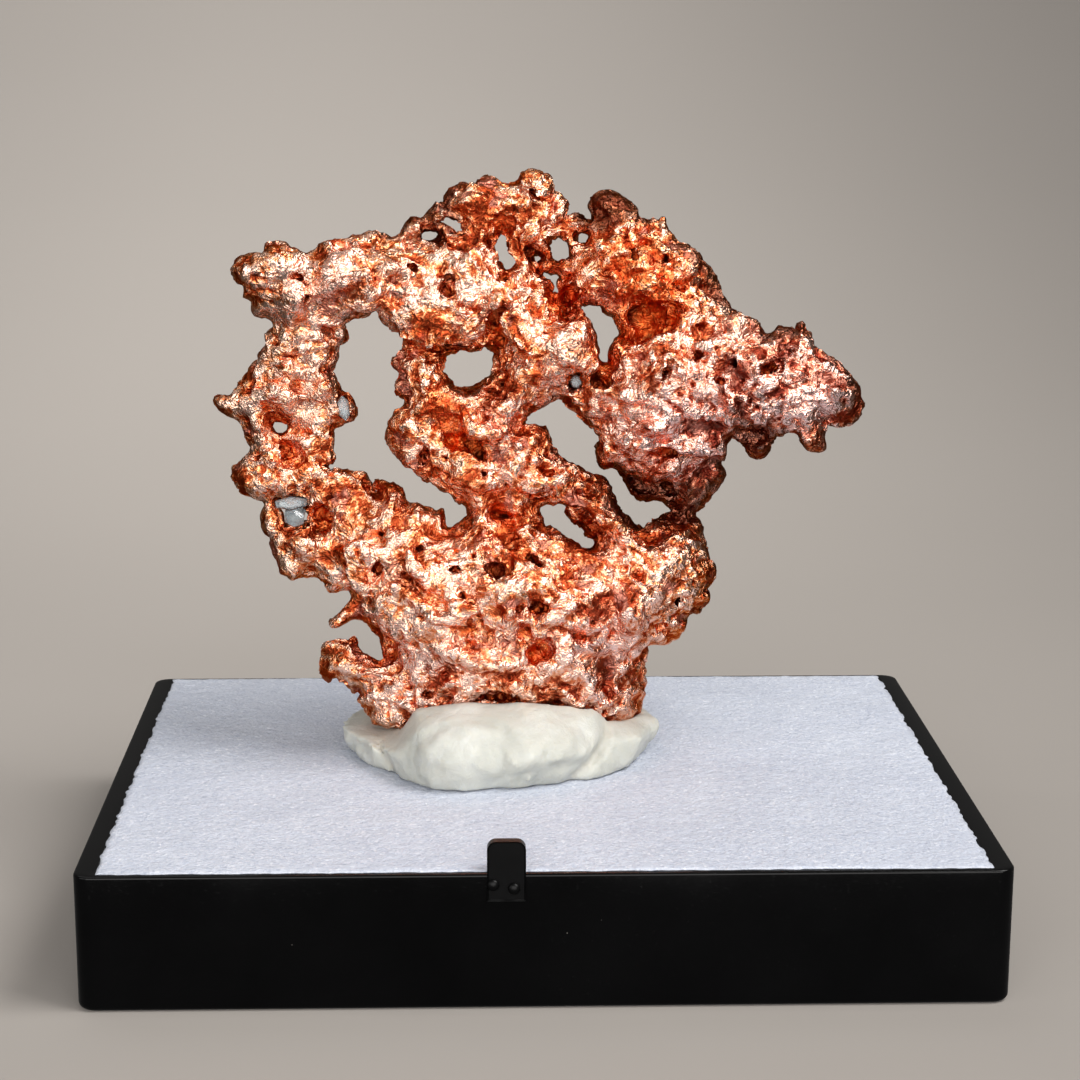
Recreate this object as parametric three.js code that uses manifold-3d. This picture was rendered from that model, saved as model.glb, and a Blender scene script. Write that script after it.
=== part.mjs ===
// Native copper nugget standing in white putty on the foam bed of a shallow black tray.
// Units are millimetres, +Z up, +X right, the front of the tray faces -Y.
// The origin is the centre of the tray's resting face.
import * as THREE from 'three';
import Module from 'manifold-3d';

// ---------------------------------------------------------------- tray
const TRAY_W = 82.5;          // outside width at the rim
const TRAY_L = 65.0;          // outside depth at the rim
const TRAY_H = 12.5;          // height of the rim
const TRAY_DRAFT = Math.tan(0.25 * Math.PI / 180);
const TRAY_CORNER = 1.6;      // plan corner radius
const TRAY_FOOT = 0.65;       // rounding of the bottom edge
const WALL = 2.0;             // side wall thickness at the rim
const WALL_END = 0.9;         // front and back wall thickness at the rim
const FLOOR = 1.6;            // floor thickness
const RIM_EDGE = 0.2;         // softening of the rim edges
const CORNER_STEPS = 4;

// latch tongue moulded on the front wall, with two round pips beside its root
const TONGUE_X0 = -5.21, TONGUE_X1 = -1.82;
const TONGUE_Z0 = 10.1, TONGUE_Z1 = 15.55;
const TONGUE_T = 1.15, TONGUE_PROUD = 0.25, TONGUE_R = 0.8;
const PIPS = [[-4.68, 11.62], [-2.86, 11.28]];
const PIP_R = 0.55, PIP_PROUD = 0.5;

// ---------------------------------------------------------------- bedding
const GAP = 0.3;              // clearance between neighbouring pieces
const FOAM_TOP = 12.6;
const PUTTY_C = [-3.6, 4.5];  // plan centre of the putty
const PUTTY_PLAN = [15.7, 15.3, 13.4, 12.02, 11.55, 12.23, 13.4, 14.92, 15.52, 14.71, 14.45, 15.42, 14.91, 14.18, 14.3, 15.2]; // plan radius every 22.5 degrees from +X
const PUTTY_TOP = 20.5;
const PUTTY_BASE = FOAM_TOP + GAP;
const PUTTY_CLEAR = 1.3;      // room round the mean sheaf for its lumps
const PUTTY_SEAT = 0.75;      // room under the copper foot

// ---------------------------------------------------------------- nugget
// The nugget is shaped in a sheaf of lines through EYE, so that its outline is the
// one seen from there.  A sheaf point (x, t, z) lies at depth plane + t along its line.
const EYE = [-7.505, -243.311, 88.130];
const PLANE_Y = 4.5;          // depth of the nugget's middle plane
const NUGGET_FOOT = 14.7;     // lowest point of the copper inside the putty
const CELL = 0.85;          // sampling cell of the solid
const SWELL = 0.10;           // added all round so that thin bridges stay whole
const NUGGET_TRIANGLES = 6800;
const PUTTY_TRIANGLES = 1700;

// closed outline of the copper and its through gaps, x and z on the middle plane
const OUTLINE = [
  [
   -0.18, 70.73, 1.27, 70.42, 1.64, 68.79, 3.23, 67.64, 2.93, 66.15, 3.99, 66.57, 5.25, 65.98, 5.43, 66.48,
   4.92, 67.16, 5.33, 68.4, 6.49, 68.59, 8.53, 68.14, 9.31, 67.23, 9.9, 67.18, 10.2, 66.09, 10.98, 65.83,
   11.46, 66.09, 11.76, 65.57, 12.53, 66.11, 13.64, 63.38, 14.32, 63.51, 15.25, 62.9, 16.79, 61.19, 18.09, 58.81,
   20.16, 56.75, 21.39, 56.12, 22.59, 54.86, 23.86, 55.46, 25.64, 54.76, 25.52, 55.76, 26.1, 56, 27.45, 53.56,
   29.45, 52.41, 30.69, 50.48, 31.8, 49.65, 32.59, 47.82, 31.94, 46.42, 30.63, 45.66, 29.33, 45.81, 28.82, 46.54,
   28.27, 46.43, 28.75, 43.42, 28.32, 42.86, 27.02, 43.32, 25.68, 44.96, 23.9, 44.74, 22.97, 42.74, 22.07, 42.23,
   19.65, 44.38, 18.96, 43.98, 19.11, 42.65, 18.2, 41.95, 18.74, 40.63, 17.28, 38.18, 15.75, 36.8, 16.85, 35.68,
   16.4, 34.56, 16.93, 33.23, 17.39, 33.03, 17.28, 32.21, 18.25, 30.98, 18.05, 30.06, 17.17, 29.03, 17.68, 28.62,
   17.68, 28, 15.07, 26.16, 15, 24.7, 13.2, 23.35, 11.99, 23.4, 11.3, 22.8, 10.87, 21.52, 11.08, 19.95,
   10.69, 16.4, 7.29, 13.05, 5.34, 12.17, -9.85, 12.28, -16.68, 14.55, -16.64, 16.25, -17.88, 17.93, -17.64, 18.7,
   -18.15, 18.35, -19.33, 19.99, -21.05, 19.82, -21.66, 21.38, -21.52, 23.45, -21.07, 23.99, -18.77, 24.11, -18.07, 24.51,
   -17.81, 23.43, -16.99, 22.47, -15.6, 21.95, -15.03, 22.38, -16.55, 25.18, -17.55, 26.03, -19.56, 25.15, -20.58, 25.41,
   -20.45, 26.33, -19.12, 27.46, -18.27, 28.58, -18.38, 28.99, -20.4, 28.77, -21.08, 30.06, -22.26, 30.77, -23.96, 29.91,
   -25.53, 30.83, -26.48, 34.02, -26.25, 34.42, -27.17, 35.24, -26.65, 38.16, -29.21, 39.17, -29.99, 40.48, -29.76, 41.79,
   -28, 43.08, -27.98, 43.68, -28.76, 46.1, -31.08, 47.22, -31.36, 48.65, -30.45, 49.04, -29.97, 48.73, -28.47, 50.39,
   -28.19, 51.31, -26.94, 52.69, -25.69, 55.82, -26.31, 56.53, -27.37, 56.41, -27.51, 58.07, -28.32, 58.36, -29.54, 61.27,
   -28.41, 62.36, -26.28, 62.5, -25.68, 63.58, -24.24, 63.53, -22.13, 62.58, -19.6, 64.38, -18.15, 64.12, -15.44, 64.79,
   -14.1, 64.34, -11.96, 66.21, -10.77, 66.09, -8.39, 68.88, -7.6, 69.29, -5.96, 69.43, -5.38, 70.07, -3.26, 69.47,
  ],
  [
   -15.72, 57.3, -16.21, 56.57, -18.16, 56.15, -18.68, 55.62, -18.26, 54.24, -19.2, 53.46, -19.83, 51, -18.03, 49.22,
   -17.45, 47.24, -17.99, 46.32, -19.89, 45.65, -19.76, 42.46, -20.44, 41.56, -17.57, 40.9, -16.78, 41.27, -15.72, 38.91,
   -15.43, 39.23, -15.79, 40.24, -14.62, 40.28, -12.91, 39.43, -12.57, 37.89, -10.3, 37.62, -9.81, 37.07, -9.11, 37.6,
   -9.07, 35.78, -8.63, 35.25, -6.59, 36.58, -6.82, 37.69, -11.17, 40.85, -13.17, 41.74, -13.4, 42.84, -14.51, 44.04,
   -14.29, 46.23, -13.67, 47.18, -12.8, 47.62, -12.85, 48.32, -13.78, 49.01, -13.5, 50.59, -14.07, 51.68, -14.04, 52.37,
   -12.88, 53.75,
  ],
  [
   2.13, 48.51, 1.45, 47.77, -0.61, 46.95, -1.03, 45.7, 0.97, 45.64, 1.85, 43.4, 3.25, 42.04, 7.16, 40.27,
   7.52, 38.75, 10.15, 35.48, 10.85, 35.47, 11.73, 36.44, 13.81, 37.01, 12.61, 38.05, 10.12, 38.21, 7.9, 41.48,
   6.47, 41.68, 5.96, 43.69, 6.34, 44.39, 6.22, 45.19, 4.67, 45.99, 4.01, 47.12,
  ],
  [
   -5.22, 53.47, -6.98, 53.27, -8.84, 52.3, -8.97, 51.18, -8.01, 49.6, -6.01, 49.67, -4.43, 50.58, -3.93, 52.75,
   -4.64, 53.46,
  ],
  [
   1.88, 37.99, 0.37, 37.56, 0.89, 35.64, 2.19, 35.37, 4.69, 33.46, 5.39, 33.61, 5.69, 34.2, 3.37, 36.44,
   2.98, 37.96,
  ],
  [
   4.34, 57.66, 5.54, 56.37, 6.11, 52.44, 7.02, 52.13, 7.28, 53.32, 8.39, 55.09, 7.47, 56.59, 6.79, 56.64,
   6.39, 57.28,
  ],
  [
   -25.19, 38.28, -25.42, 37.65, -24.68, 37.05, -24.86, 36.44, -24.48, 35.93, -22.44, 36.23, -22.41, 37.14, -23, 37.95,
  ],
  [
   2.07, 64.29, 1.34, 63.49, 1.66, 62.32, 3.14, 62.3, 3.16, 63.49, 2.55, 64.27,
  ],
  [
   -3.65, 64.86, -3.58, 61.94, -2.68, 61.46, -2.08, 61.94, -2.95, 64.55,
  ],
  [
   -9.16, 66.02, -9.4, 65.71, -7.62, 64.51, -6.84, 64.55, -7.52, 65.92,
  ],
  [
   0.91, 60.8, 1.62, 59.99, 1.8, 58.57, 1.97, 59.89, 2.56, 60.28, 1.98, 60.86,
  ],
  [
   4.29, 64.77, 3.98, 63.97, 4.79, 63.56, 5.19, 64.36,
  ],
  [
   -10.61, 64.86, -11.16, 64.26, -10.81, 63.86, -9.11, 64.46,
  ],
  [
   -3.47, 36.88, -3.96, 36.77, -3.27, 36.43, -2.59, 36.56,
  ],
];

// body thickness: x, z, middle depth, half thickness
const BODY = [
  [-25.74, 60.59, -0.8, 2.9], [-19.96, 59.62, -1.3, 3.5], [-13.18, 58.15, -1.3, 3.6],
  [-7.36, 56.19, -1, 3.6], [-1.51, 56.19, -1, 3.9], [-23.92, 54.25, 0.9, 2.5],
  [-24.52, 48.34, 1.1, 2.6], [-28.91, 48.15, 1, 2], [-23.13, 43.37, 0.8, 2.8],
  [-19.63, 48.13, 0.6, 2.2], [-23.22, 38.35, 0.2, 3], [-19.34, 33.79, -0.5, 3.8],
  [-13.42, 30.71, -1.5, 4.8], [-8.46, 28.12, -2, 6.2], [-12.16, 64.46, 1.4, 2.5],
  [-9.25, 67.06, 2.2, 2.5], [-4.42, 67.83, 2.2, 2.8], [0.4, 69.55, 2.2, 2.8],
  [6.22, 66.39, 1.6, 3], [11.08, 65.71, 1.2, 3.4], [-10.26, 60.1, -0.5, 3.8],
  [-4.43, 59.12, -0.4, 4.1], [1.42, 54.22, -1, 4.6], [-3.46, 63.97, 1, 3.2],
  [2.38, 59.11, 0, 4.2], [0.42, 63.97, 1.4, 3.2], [-9.34, 51.08, -1.4, 3.6],
  [-6.41, 48.3, -1.9, 3.6], [-2.97, 50.77, -1.4, 3.8], [-13.28, 46.83, -2, 3.5],
  [-9.37, 44.33, -2, 3.9], [-6.43, 41.32, -1.6, 3.8], [0.49, 40.29, -2, 3.8],
  [6.46, 36.23, -2, 4], [11.49, 32.13, -1.5, 5.2], [-0.51, 45.3, -1.6, 4.2],
  [10.16, 61.06, 0, 5.6], [15.06, 59.59, 0.8, 5.2], [6.25, 63, 1, 4.2],
  [16.11, 55.18, -1, 5.6], [8.33, 48.27, -2, 5], [14.25, 48.26, -3.8, 5.6],
  [20.17, 48.25, -4.3, 5], [11.34, 44.27, -3, 5], [24.05, 51.22, -4.5, 4.4],
  [30.04, 48.73, -5.4, 3.4], [26.17, 45.24, -4.8, 2.8], [21.24, 44.25, -3.2, 3.8],
  [13.37, 40.25, 2.2, 4.2], [16.38, 38.22, 3.4, 3.8], [10.41, 39.25, 1.6, 4],
  [15.48, 32.12, -1, 6], [15.58, 25.95, -0.5, 5.6], [13.61, 23.37, 0, 5],
  [-11.47, 26.08, -2.5, 7], [-3.47, 28.1, -2, 8], [2.53, 26.01, -2, 8],
  [8.53, 28.04, -1.5, 7.6], [-8.5, 18.81, -1, 7.5], [1.56, 18.75, -1, 8.2],
  [8.62, 18.71, 0, 7.2], [-19.94, 25.92, -1, 1.7], [-19.53, 19.92, -2, 2.8],
  [-17.57, 16.57, -2.5, 3.2], [-13.56, 14.66, 0, 6.5], [-3.48, 14.07, 0, 8],
  [6.64, 14.01, 0, 7],
];

// relief: [1,x,t,z,rx,rt,rz,turn] lump, [-1,...] hollow, [2,x,t,z,x,t,z,r] ridge, [-2,...] groove
const RELIEF = [
  [1, -25.73, -1.13, 61.27, 2.98, 3, 2.58, 0], [1, -17.24, -3, 59.91, 4.57, 2.2, 2.38, 0.09], [1, -22.88, -2.18, 58.16, 1.79, 2, 2.58, -0.17],
  [2, -9.26, 0.38, 65.42, -4.14, -1.05, 62.81, 0.89], [1, -1.02, -4.35, 54.22, 1.39, 2, 1.79, 0], [2, -0.52, -6.08, 50.67, 2.61, -5.95, 50.86, 0.5],
  [1, 3.39, -4.15, 52.44, 2.48, 3, 3.57, 0], [1, 11.82, -6.35, 45.47, 1.99, 2.2, 1.39, 0.35], [2, 10.36, -5.89, 43.58, 16.79, -5.38, 43.56, 0.6],
  [1, 17.47, -5.17, 44.56, 0.89, 2, 0.89, 0], [1, 19.2, -7.81, 47.45, 1.19, 2, 1.09, 0], [1, 20.23, -5.34, 54.98, 1.99, 2, 2.78, -0.35],
  [1, 8.49, -4.72, 52.24, 0.99, 2, 1.79, 0], [1, 12.86, -3.59, 41.26, 1.29, 3, 1.29, 0], [1, 29.85, -5.79, 48.73, 2.38, 3, 2.38, 0],
  [1, 27.39, -5.31, 44.23, 1.39, 2, 1.59, 0], [2, 25.91, -4.73, 55.96, 27.44, -5.08, 53.69, 0.7], [1, 24.25, -3.8, 55.47, 0.89, 1.5, 0.89, 0],
  [1, 7.18, 1.11, 68.02, 1.79, 2.5, 1.59, 0], [1, 11.76, 1.28, 65.71, 0.99, 1.5, 0.99, 0], [1, 14.54, 0.37, 61.83, 4.17, 4, 3.38, -0.61],
  [1, -2.67, -8.97, 28.82, 1.99, 2.2, 2.28, 0], [1, -12.96, -5.81, 26.4, 3.38, 2.5, 2.38, 0], [2, -13.44, -7.8, 28.66, -5.48, -9.65, 24.51, 0.5],
  [1, 9.05, -6.04, 26.29, 1.99, 3, 3.18, 0], [1, -11.23, -7.32, 31.11, 0.89, 1.2, 0.79, 0], [2, -14.25, -1.31, 48.52, -14.87, -1.31, 45.14, 0.79],
  [2, -14.87, -1.41, 45.14, -11.55, -3.77, 41.53, 0.79], [2, -6.43, -5.19, 40.31, 2.47, -4.91, 39.68, 0.89], [2, 2.47, -4.71, 39.68, 11.49, -5.96, 31.93, 1.09],
  [2, -22.8, -2.7, 33.8, -13.41, -5.85, 32.24, 1.39], [1, -5.39, 0.28, 67.34, 2.58, 2, 1.39, -0.17], [1, 0.4, 0.83, 69.27, 1.99, 2, 1.79, 0],
  [1, 2.35, 1.2, 66.67, 1.59, 2, 1.19, 0], [2, -13.12, 0.76, 65.32, -11.18, 1.18, 66.77, 0.5], [2, -11.18, 1.08, 66.77, -8.37, 1.44, 68.97, 0.5],
  [2, -8.37, 1.64, 68.97, -5.38, 0.19, 69.55, 0.5], [2, -12.61, -7.1, 32.23, -6.67, -9.28, 26.26, 0.7], [2, -5.66, -9.63, 29.65, -1.48, -10.12, 30.14, 0.6],
  [2, -19.86, -4.26, 32.26, -16.22, -5.35, 29.19, 0.7], [2, 2.5, -4.98, 33.7, 6.5, -6.78, 31.13, 0.7], [2, -9.49, -8.44, 22.46, -3.47, -8.86, 21.08, 0.79],
  [2, 6.25, -2.38, 63, 10.12, -2.7, 64.36, 0.7], [2, 10.12, -2.7, 64.36, 14.44, -3.11, 61.83, 0.6], [2, 8.23, -4.08, 58.62, 11.35, -5.08, 59.5, 0.6],
  [2, 14.44, -3.11, 61.83, 16.09, -5.72, 56.36, 0.7], [2, 7.5, -1.9, 53.72, 8.52, -7.41, 49.07, 0.7], [2, 11.72, -7.06, 53.02, 15.19, -8.31, 51.04, 0.7],
  [2, 10.29, -7.82, 49.76, 13.03, -8.28, 51.04, 0.6], [2, -6.39, -4.52, 55.21, -3.46, -4.53, 58.14, 0.6], [2, -2.97, -4.76, 56.19, 0.45, -5.31, 53.04, 0.79],
  [2, 2.4, -4.89, 55.2, 5.34, -3.46, 53.72, 0.7], [2, -13.21, -3.1, 55.22, -9.31, -4.71, 56, 0.6], [2, -22.88, -3.28, 58.16, -18.47, -3.84, 61.85, 0.79],
  [2, -17.8, -3.82, 61.85, -13.96, -3.8, 58.15, 0.7], [2, -26.64, 0.74, 54.26, -23.98, -1.47, 51.11, 0.7], [2, -27.93, -1.14, 48.35, -20.11, -1.55, 49.12, 0.7],
  [2, -21.4, -1.66, 41.36, -23.25, 0.04, 36.33, 0.6], [2, 24.12, -8.3, 48.44, 30.21, -7.12, 50.02, 0.79], [2, 16.14, -7.28, 53.21, 22.04, -7.69, 53.01, 0.7],
  [2, 20.61, -8.81, 51.03, 23.54, -8.64, 52.21, 0.6], [-1, -22.95, -3.39, 60.1, 0.6, 1.12, 0.6, 0], [-1, -11.51, -2.81, 61.07, 0.79, 1.5, 0.7, 0],
  [-1, -8.12, -3.55, 59.61, 0.6, 1.12, 0.6, 0], [-1, -2.49, -2.58, 59.99, 0.6, 1.05, 0.6, 0], [-1, -24.78, -3.37, 60.4, 0.4, 0.75, 0.4, 0],
  [-1, -23.92, -1.37, 43.17, 1.09, 1.5, 0.99, 0], [-1, -22.62, -1.27, 44.96, 0.5, 0.9, 0.5, 0], [-1, -20.81, -2.06, 54.54, 0.6, 0.98, 0.6, 0],
  [-1, -19.13, -2.48, 63.49, 1.39, 1.2, 0.89, 0], [-1, -12.07, -0.83, 63.97, 0.79, 1.2, 0.7, 0], [-2, -11.27, -3.14, 53.74, -6.39, -2.31, 53.93, 0.7],
  [-2, -6.39, -2.31, 53.93, -3.46, -3.49, 56.19, 0.7], [-1, -3.66, -3.17, 53.93, 0.6, 1.12, 0.6, 0], [-1, -6.81, -4.87, 44.02, 2.88, 1.8, 1.09, -0.79],
  [-1, -8.67, -5.01, 46.22, 1.49, 1.27, 0.89, -0.26], [-1, -11.35, -4.19, 42.53, 0.5, 1.5, 1.29, 0.21], [-1, -5.44, -5.07, 40.91, 0.4, 1.2, 0.4, 0],
  [2, -12.89, -4.01, 47.03, -9.55, -5.82, 47.42, 0.6], [2, -7.49, -5.72, 47.31, -6.42, -6.17, 45.22, 0.6], [2, -6.42, -6.17, 45.22, -3.47, -6.03, 44.51, 0.6],
  [1, -13.1, -3.38, 45.14, 1.49, 2.2, 1.99, 0], [-1, 0.02, -0.48, 68.79, 0.4, 0.75, 0.4, 0], [-1, -4.72, -0.63, 63.97, 0.89, 1.5, 0.79, 0],
  [-1, 3.07, -2.14, 58.14, 1.19, 2.62, 2.58, -0.09], [-1, 10.97, -4.26, 58.13, 2.58, 1.35, 1.79, 0], [-1, 13.3, -4.21, 59.59, 1.39, 1.05, 0.89, 0],
  [-1, 8.95, -1.98, 64.74, 0.99, 0.9, 0.7, 0], [-1, 1.61, -3.9, 56.38, 0.5, 0.9, 0.5, 0], [-1, 9.47, -3.36, 62.13, 0.6, 0.98, 0.6, 0],
  [-1, 11.19, -3.93, 56.37, 2.98, 2.7, 2.38, 0], [-1, 10.52, -3.67, 54.99, 1.29, 3.15, 1.29, 0], [-1, 5.51, 0.07, 57.35, 0.79, 1.65, 0.99, 0],
  [-1, 13.03, -7.66, 50.74, 0.7, 1.2, 0.6, 0], [-1, 6.76, -6.06, 48.08, 0.7, 1.12, 0.6, 0], [-1, 6.15, -5.08, 50.46, 0.6, 1.05, 0.6, 0],
  [-1, 22.29, -8.02, 50.73, 1.29, 1.65, 1.09, 0], [-1, 24.5, -7.64, 53.2, 0.89, 0.98, 0.6, 0], [-1, 18.17, -8.15, 49.45, 0.79, 1.2, 0.7, 0],
  [-1, 21.22, -6.01, 45.05, 1.99, 2.1, 1.39, 0], [-2, 10.4, -1.05, 39.85, 16.36, -0.18, 39.63, 0.99], [-1, -0.38, -7.32, 32.59, 0.7, 1.2, 0.6, 0],
  [-1, -15.69, -5.17, 32.45, 0.6, 1.05, 0.6, 0], [-1, -7.45, -7.51, 31.4, 0.7, 1.12, 0.6, 0], [-1, -4.66, -8.48, 31.49, 0.6, 0.98, 0.5, 0],
  [-1, 0.33, -9.44, 27.16, 0.6, 1.05, 0.6, 0], [-1, 2.73, -9.27, 26.94, 0.6, 0.98, 0.6, 0], [-1, -0.97, -9.47, 24.79, 0.4, 0.75, 0.4, 0],
  [-1, 4.35, -8.91, 24.14, 0.6, 0.98, 0.6, 0], [-1, 0.64, -8.91, 22.61, 0.89, 1.5, 0.79, 0], [-1, -1.47, -9.45, 27.58, 0.4, 0.9, 0.5, 0],
  [-1, -21.47, -1.48, 36.53, 1.09, 1.95, 0.7, 0], [-1, -3.47, -7.27, 17.53, 1.99, 1.8, 0.79, 0], [-1, -10.01, -7.4, 18.41, 1.19, 1.05, 0.5, 0],
  [-1, 14.14, -4.19, 28.02, 0.89, 2.25, 0.89, 0], [-1, 15.6, 0.09, 24.91, 0.7, 1.2, 0.6, 0], [-1, 12.07, -4.65, 25.45, 0.6, 1.05, 0.6, 0],
  [-2, -14.98, -4.26, 24.24, -11.48, -7.66, 24.02, 0.25],
];

// small grey calcite crystals: centre on the middle plane x, t, z, half sizes, turn about t, lean
const CRYSTALS = {
  calcite_lower_left: [
    [-24.05, -0.6, 38.05, 1.75, 1.15, 0.62, 0.06, 0.15],
    [-23.75, -0.9, 36.75, 1.10, 1.05, 0.85, -0.12, -0.2],
  ],
  calcite_left_arm: [[-18.75, -1.7, 47.5, 0.60, 0.85, 1.15, 0.15, 0.2]],
  calcite_centre: [[3.99, -2.6, 50.1, 0.62, 0.8, 0.66, 0.35, 0.15]],
};
const CRYSTAL_CLEAR = 0.55;

// ================================================================ helpers
const V = (x, y, z) => [x, y, z];
const mix = (a, b, h) => a + (b - a) * h;
const clamp = (v, a, b) => (v < a ? a : v > b ? b : v);
function smax(a, b, k) { const h = clamp(0.5 + 0.5 * (a - b) / k, 0, 1); return b + (a - b) * h + k * h * (1 - h); }
function smin(a, b, k) { return -smax(-a, -b, k); }
function lattice(i, j, k) { const s = Math.sin(i * 12.9898 + j * 78.233 + k * 37.719) * 43758.5453; return s - Math.floor(s); }
function noise(x, y, z) {
  const i = Math.floor(x), j = Math.floor(y), k = Math.floor(z);
  let u = x - i, v = y - j, w = z - k;
  u = u * u * (3 - 2 * u); v = v * v * (3 - 2 * v); w = w * w * (3 - 2 * w);
  const a = mix(mix(lattice(i, j, k), lattice(i + 1, j, k), u), mix(lattice(i, j + 1, k), lattice(i + 1, j + 1, k), u), v);
  const b = mix(mix(lattice(i, j, k + 1), lattice(i + 1, j, k + 1), u), mix(lattice(i, j + 1, k + 1), lattice(i + 1, j + 1, k + 1), u), v);
  return mix(a, b, w) * 2 - 1;
}

function geometryOf(pos, tri) {
  const g = new THREE.BufferGeometry();
  g.setAttribute('position', new THREE.Float32BufferAttribute(pos, 3));
  g.setIndex(tri);
  g.computeVertexNormals();
  return g;
}

// rounded rectangle ring of half sizes a, b and corner radius r at height z
function ring(a, b, r, z) {
  const pts = [];
  const rr = Math.max(r, 0.05);
  for (let q = 0; q < 4; q++) {
    const cx = (q === 0 || q === 3 ? 1 : -1) * (a - rr), cy = (q < 2 ? 1 : -1) * (b - rr);
    for (let s = 0; s <= CORNER_STEPS; s++) {
      const t = (q + s / CORNER_STEPS) * Math.PI / 2;
      pts.push([cx + rr * Math.cos(t), cy + rr * Math.sin(t), z]);
    }
  }
  return pts;
}
// closed body from a stack of rings, first and last ring are closed by fans
function stack(rings) {
  const n = rings[0].length, pos = [], tri = [];
  for (const r of rings) for (const p of r) pos.push(...p);
  for (let i = 0; i + 1 < rings.length; i++) for (let j = 0; j < n; j++) {
    const a = i * n + j, b = i * n + (j + 1) % n, c = b + n, d = a + n;
    tri.push(a, b, c, a, c, d);
  }
  const cap = (ri, up) => {
    const c = pos.length / 3;
    pos.push(0, 0, rings[ri][0][2]);
    for (let j = 0; j < n; j++) {
      const a = ri * n + j, b = ri * n + (j + 1) % n;
      if (up) tri.push(c, a, b); else tri.push(c, b, a);
    }
  };
  cap(0, false); cap(rings.length - 1, true);
  return { pos, tri };
}

const wasm = await Module();
wasm.setup();
function solid(m) {
  const s = new wasm.Manifold(new wasm.Mesh({ numProp: 3, vertProperties: Float32Array.from(m.pos), triVerts: Uint32Array.from(m.tri) }));
  return s;
}
function bodyOf(s) {
  const m = s.getMesh();
  return { pos: Array.from(m.vertProperties), tri: Array.from(m.triVerts) };
}
// vertices of a three.js geometry joined, as the solid tools need them
function weld(g) {
  const p = g.attributes.position, idx = g.index ? g.index.array : null, map = new Map(), pos = [], tri = [], to = [];
  for (let i = 0; i < p.count; i++) {
    const k = [p.getX(i), p.getY(i), p.getZ(i)].map((v) => Math.round(v * 1e4)).join();
    if (!map.has(k)) { map.set(k, pos.length / 3); pos.push(p.getX(i), p.getY(i), p.getZ(i)); }
    to[i] = map.get(k);
  }
  const n = idx ? idx.length : p.count;
  for (let i = 0; i < n; i += 3) {
    const a = to[idx ? idx[i] : i], b = to[idx ? idx[i + 1] : i + 1], c = to[idx ? idx[i + 2] : i + 2];
    if (a !== b && b !== c && a !== c) tri.push(a, b, c);
  }
  return { pos, tri };
}

// ================================================================ tray
function trayBody() {
  const a = TRAY_W / 2, b = TRAY_L / 2;
  const at = (z) => (TRAY_H - z) * TRAY_DRAFT;
  const out = (z, inset) => ring(a - at(z) - inset, b - at(z) - inset, TRAY_CORNER - inset * 0.9, z);
  const ins = (z, inset) => { const w = (TRAY_H - z) * TRAY_DRAFT * 2 + inset; return ring(a - WALL - w, b - WALL_END - w, Math.max(TRAY_CORNER - 0.6, 0.4), z); };
  const F = TRAY_FOOT;
  return stack([
    out(0, F), out(F * 0.134, F * 0.5), out(F * 0.5, F * 0.134), out(F, 0),
    out(TRAY_H - RIM_EDGE, 0), out(TRAY_H, RIM_EDGE),
    ins(TRAY_H, -RIM_EDGE), ins(TRAY_H - RIM_EDGE, 0), ins(FLOOR, 0),
  ]);
}
function tongueBody() {
  const s = new THREE.Shape(), r = TONGUE_R;
  s.moveTo(TONGUE_X0, TONGUE_Z0); s.lineTo(TONGUE_X1, TONGUE_Z0);
  s.lineTo(TONGUE_X1, TONGUE_Z1 - r); s.absarc(TONGUE_X1 - r, TONGUE_Z1 - r, r, 0, Math.PI / 2, false);
  s.lineTo(TONGUE_X0 + r, TONGUE_Z1); s.absarc(TONGUE_X0 + r, TONGUE_Z1 - r, r, Math.PI / 2, Math.PI, false);
  s.closePath();
  const g = new THREE.ExtrudeGeometry(s, { depth: TONGUE_T - 0.2, bevelEnabled: true, bevelThickness: 0.1, bevelSize: 0.1, bevelOffset: -0.1, bevelSegments: 1, curveSegments: 5 });
  g.rotateX(Math.PI / 2);                       // shape y becomes z, depth runs to -Y
  g.translate(0, -TRAY_L / 2 + TONGUE_T - TONGUE_PROUD - 0.1, 0);
  return weld(g);
}
function pipBody(x, z) {
  const g = new THREE.SphereGeometry(PIP_R, 12, 8);
  g.scale(1, PIP_PROUD / PIP_R, 1);
  g.translate(x, -TRAY_L / 2 - TONGUE_PROUD + 0.12, z);
  return weld(g);
}

// ================================================================ implicit solids
// signed distance to the outline on the middle plane, inside positive
function outlineDistance(x, z) {
  let best = 1e9, inside = false;
  for (const P of OUTLINE) {
    for (let i = 0, n = P.length; i < n; i += 2) {
      const j = (i + 2) % n, x0 = P[i], z0 = P[i + 1], x1 = P[j], z1 = P[j + 1];
      const ex = x1 - x0, ez = z1 - z0, wx = x - x0, wz = z - z0;
      const t = clamp((wx * ex + wz * ez) / (ex * ex + ez * ez + 1e-12), 0, 1);
      const dx = wx - ex * t, dz = wz - ez * t, d = dx * dx + dz * dz;
      if (d < best) best = d;
      if ((z0 <= z) !== (z1 <= z) && x < x0 + (z - z0) * ex / ez) inside = !inside;
    }
  }
  return (inside ? 1 : -1) * Math.sqrt(best);
}
function thickness(x, z) {
  let w = 0, a = 0, b = 0;
  for (const [cx, cz, m, h] of BODY) {
    const r = (x - cx) ** 2 + (z - cz) ** 2;
    const g = Math.exp(-r / (2 * 3.4 * 3.4)) + 1e-9 / (1 + r);
    w += g; a += g * m; b += g * h;
  }
  return [a / w, b / w];
}
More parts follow.
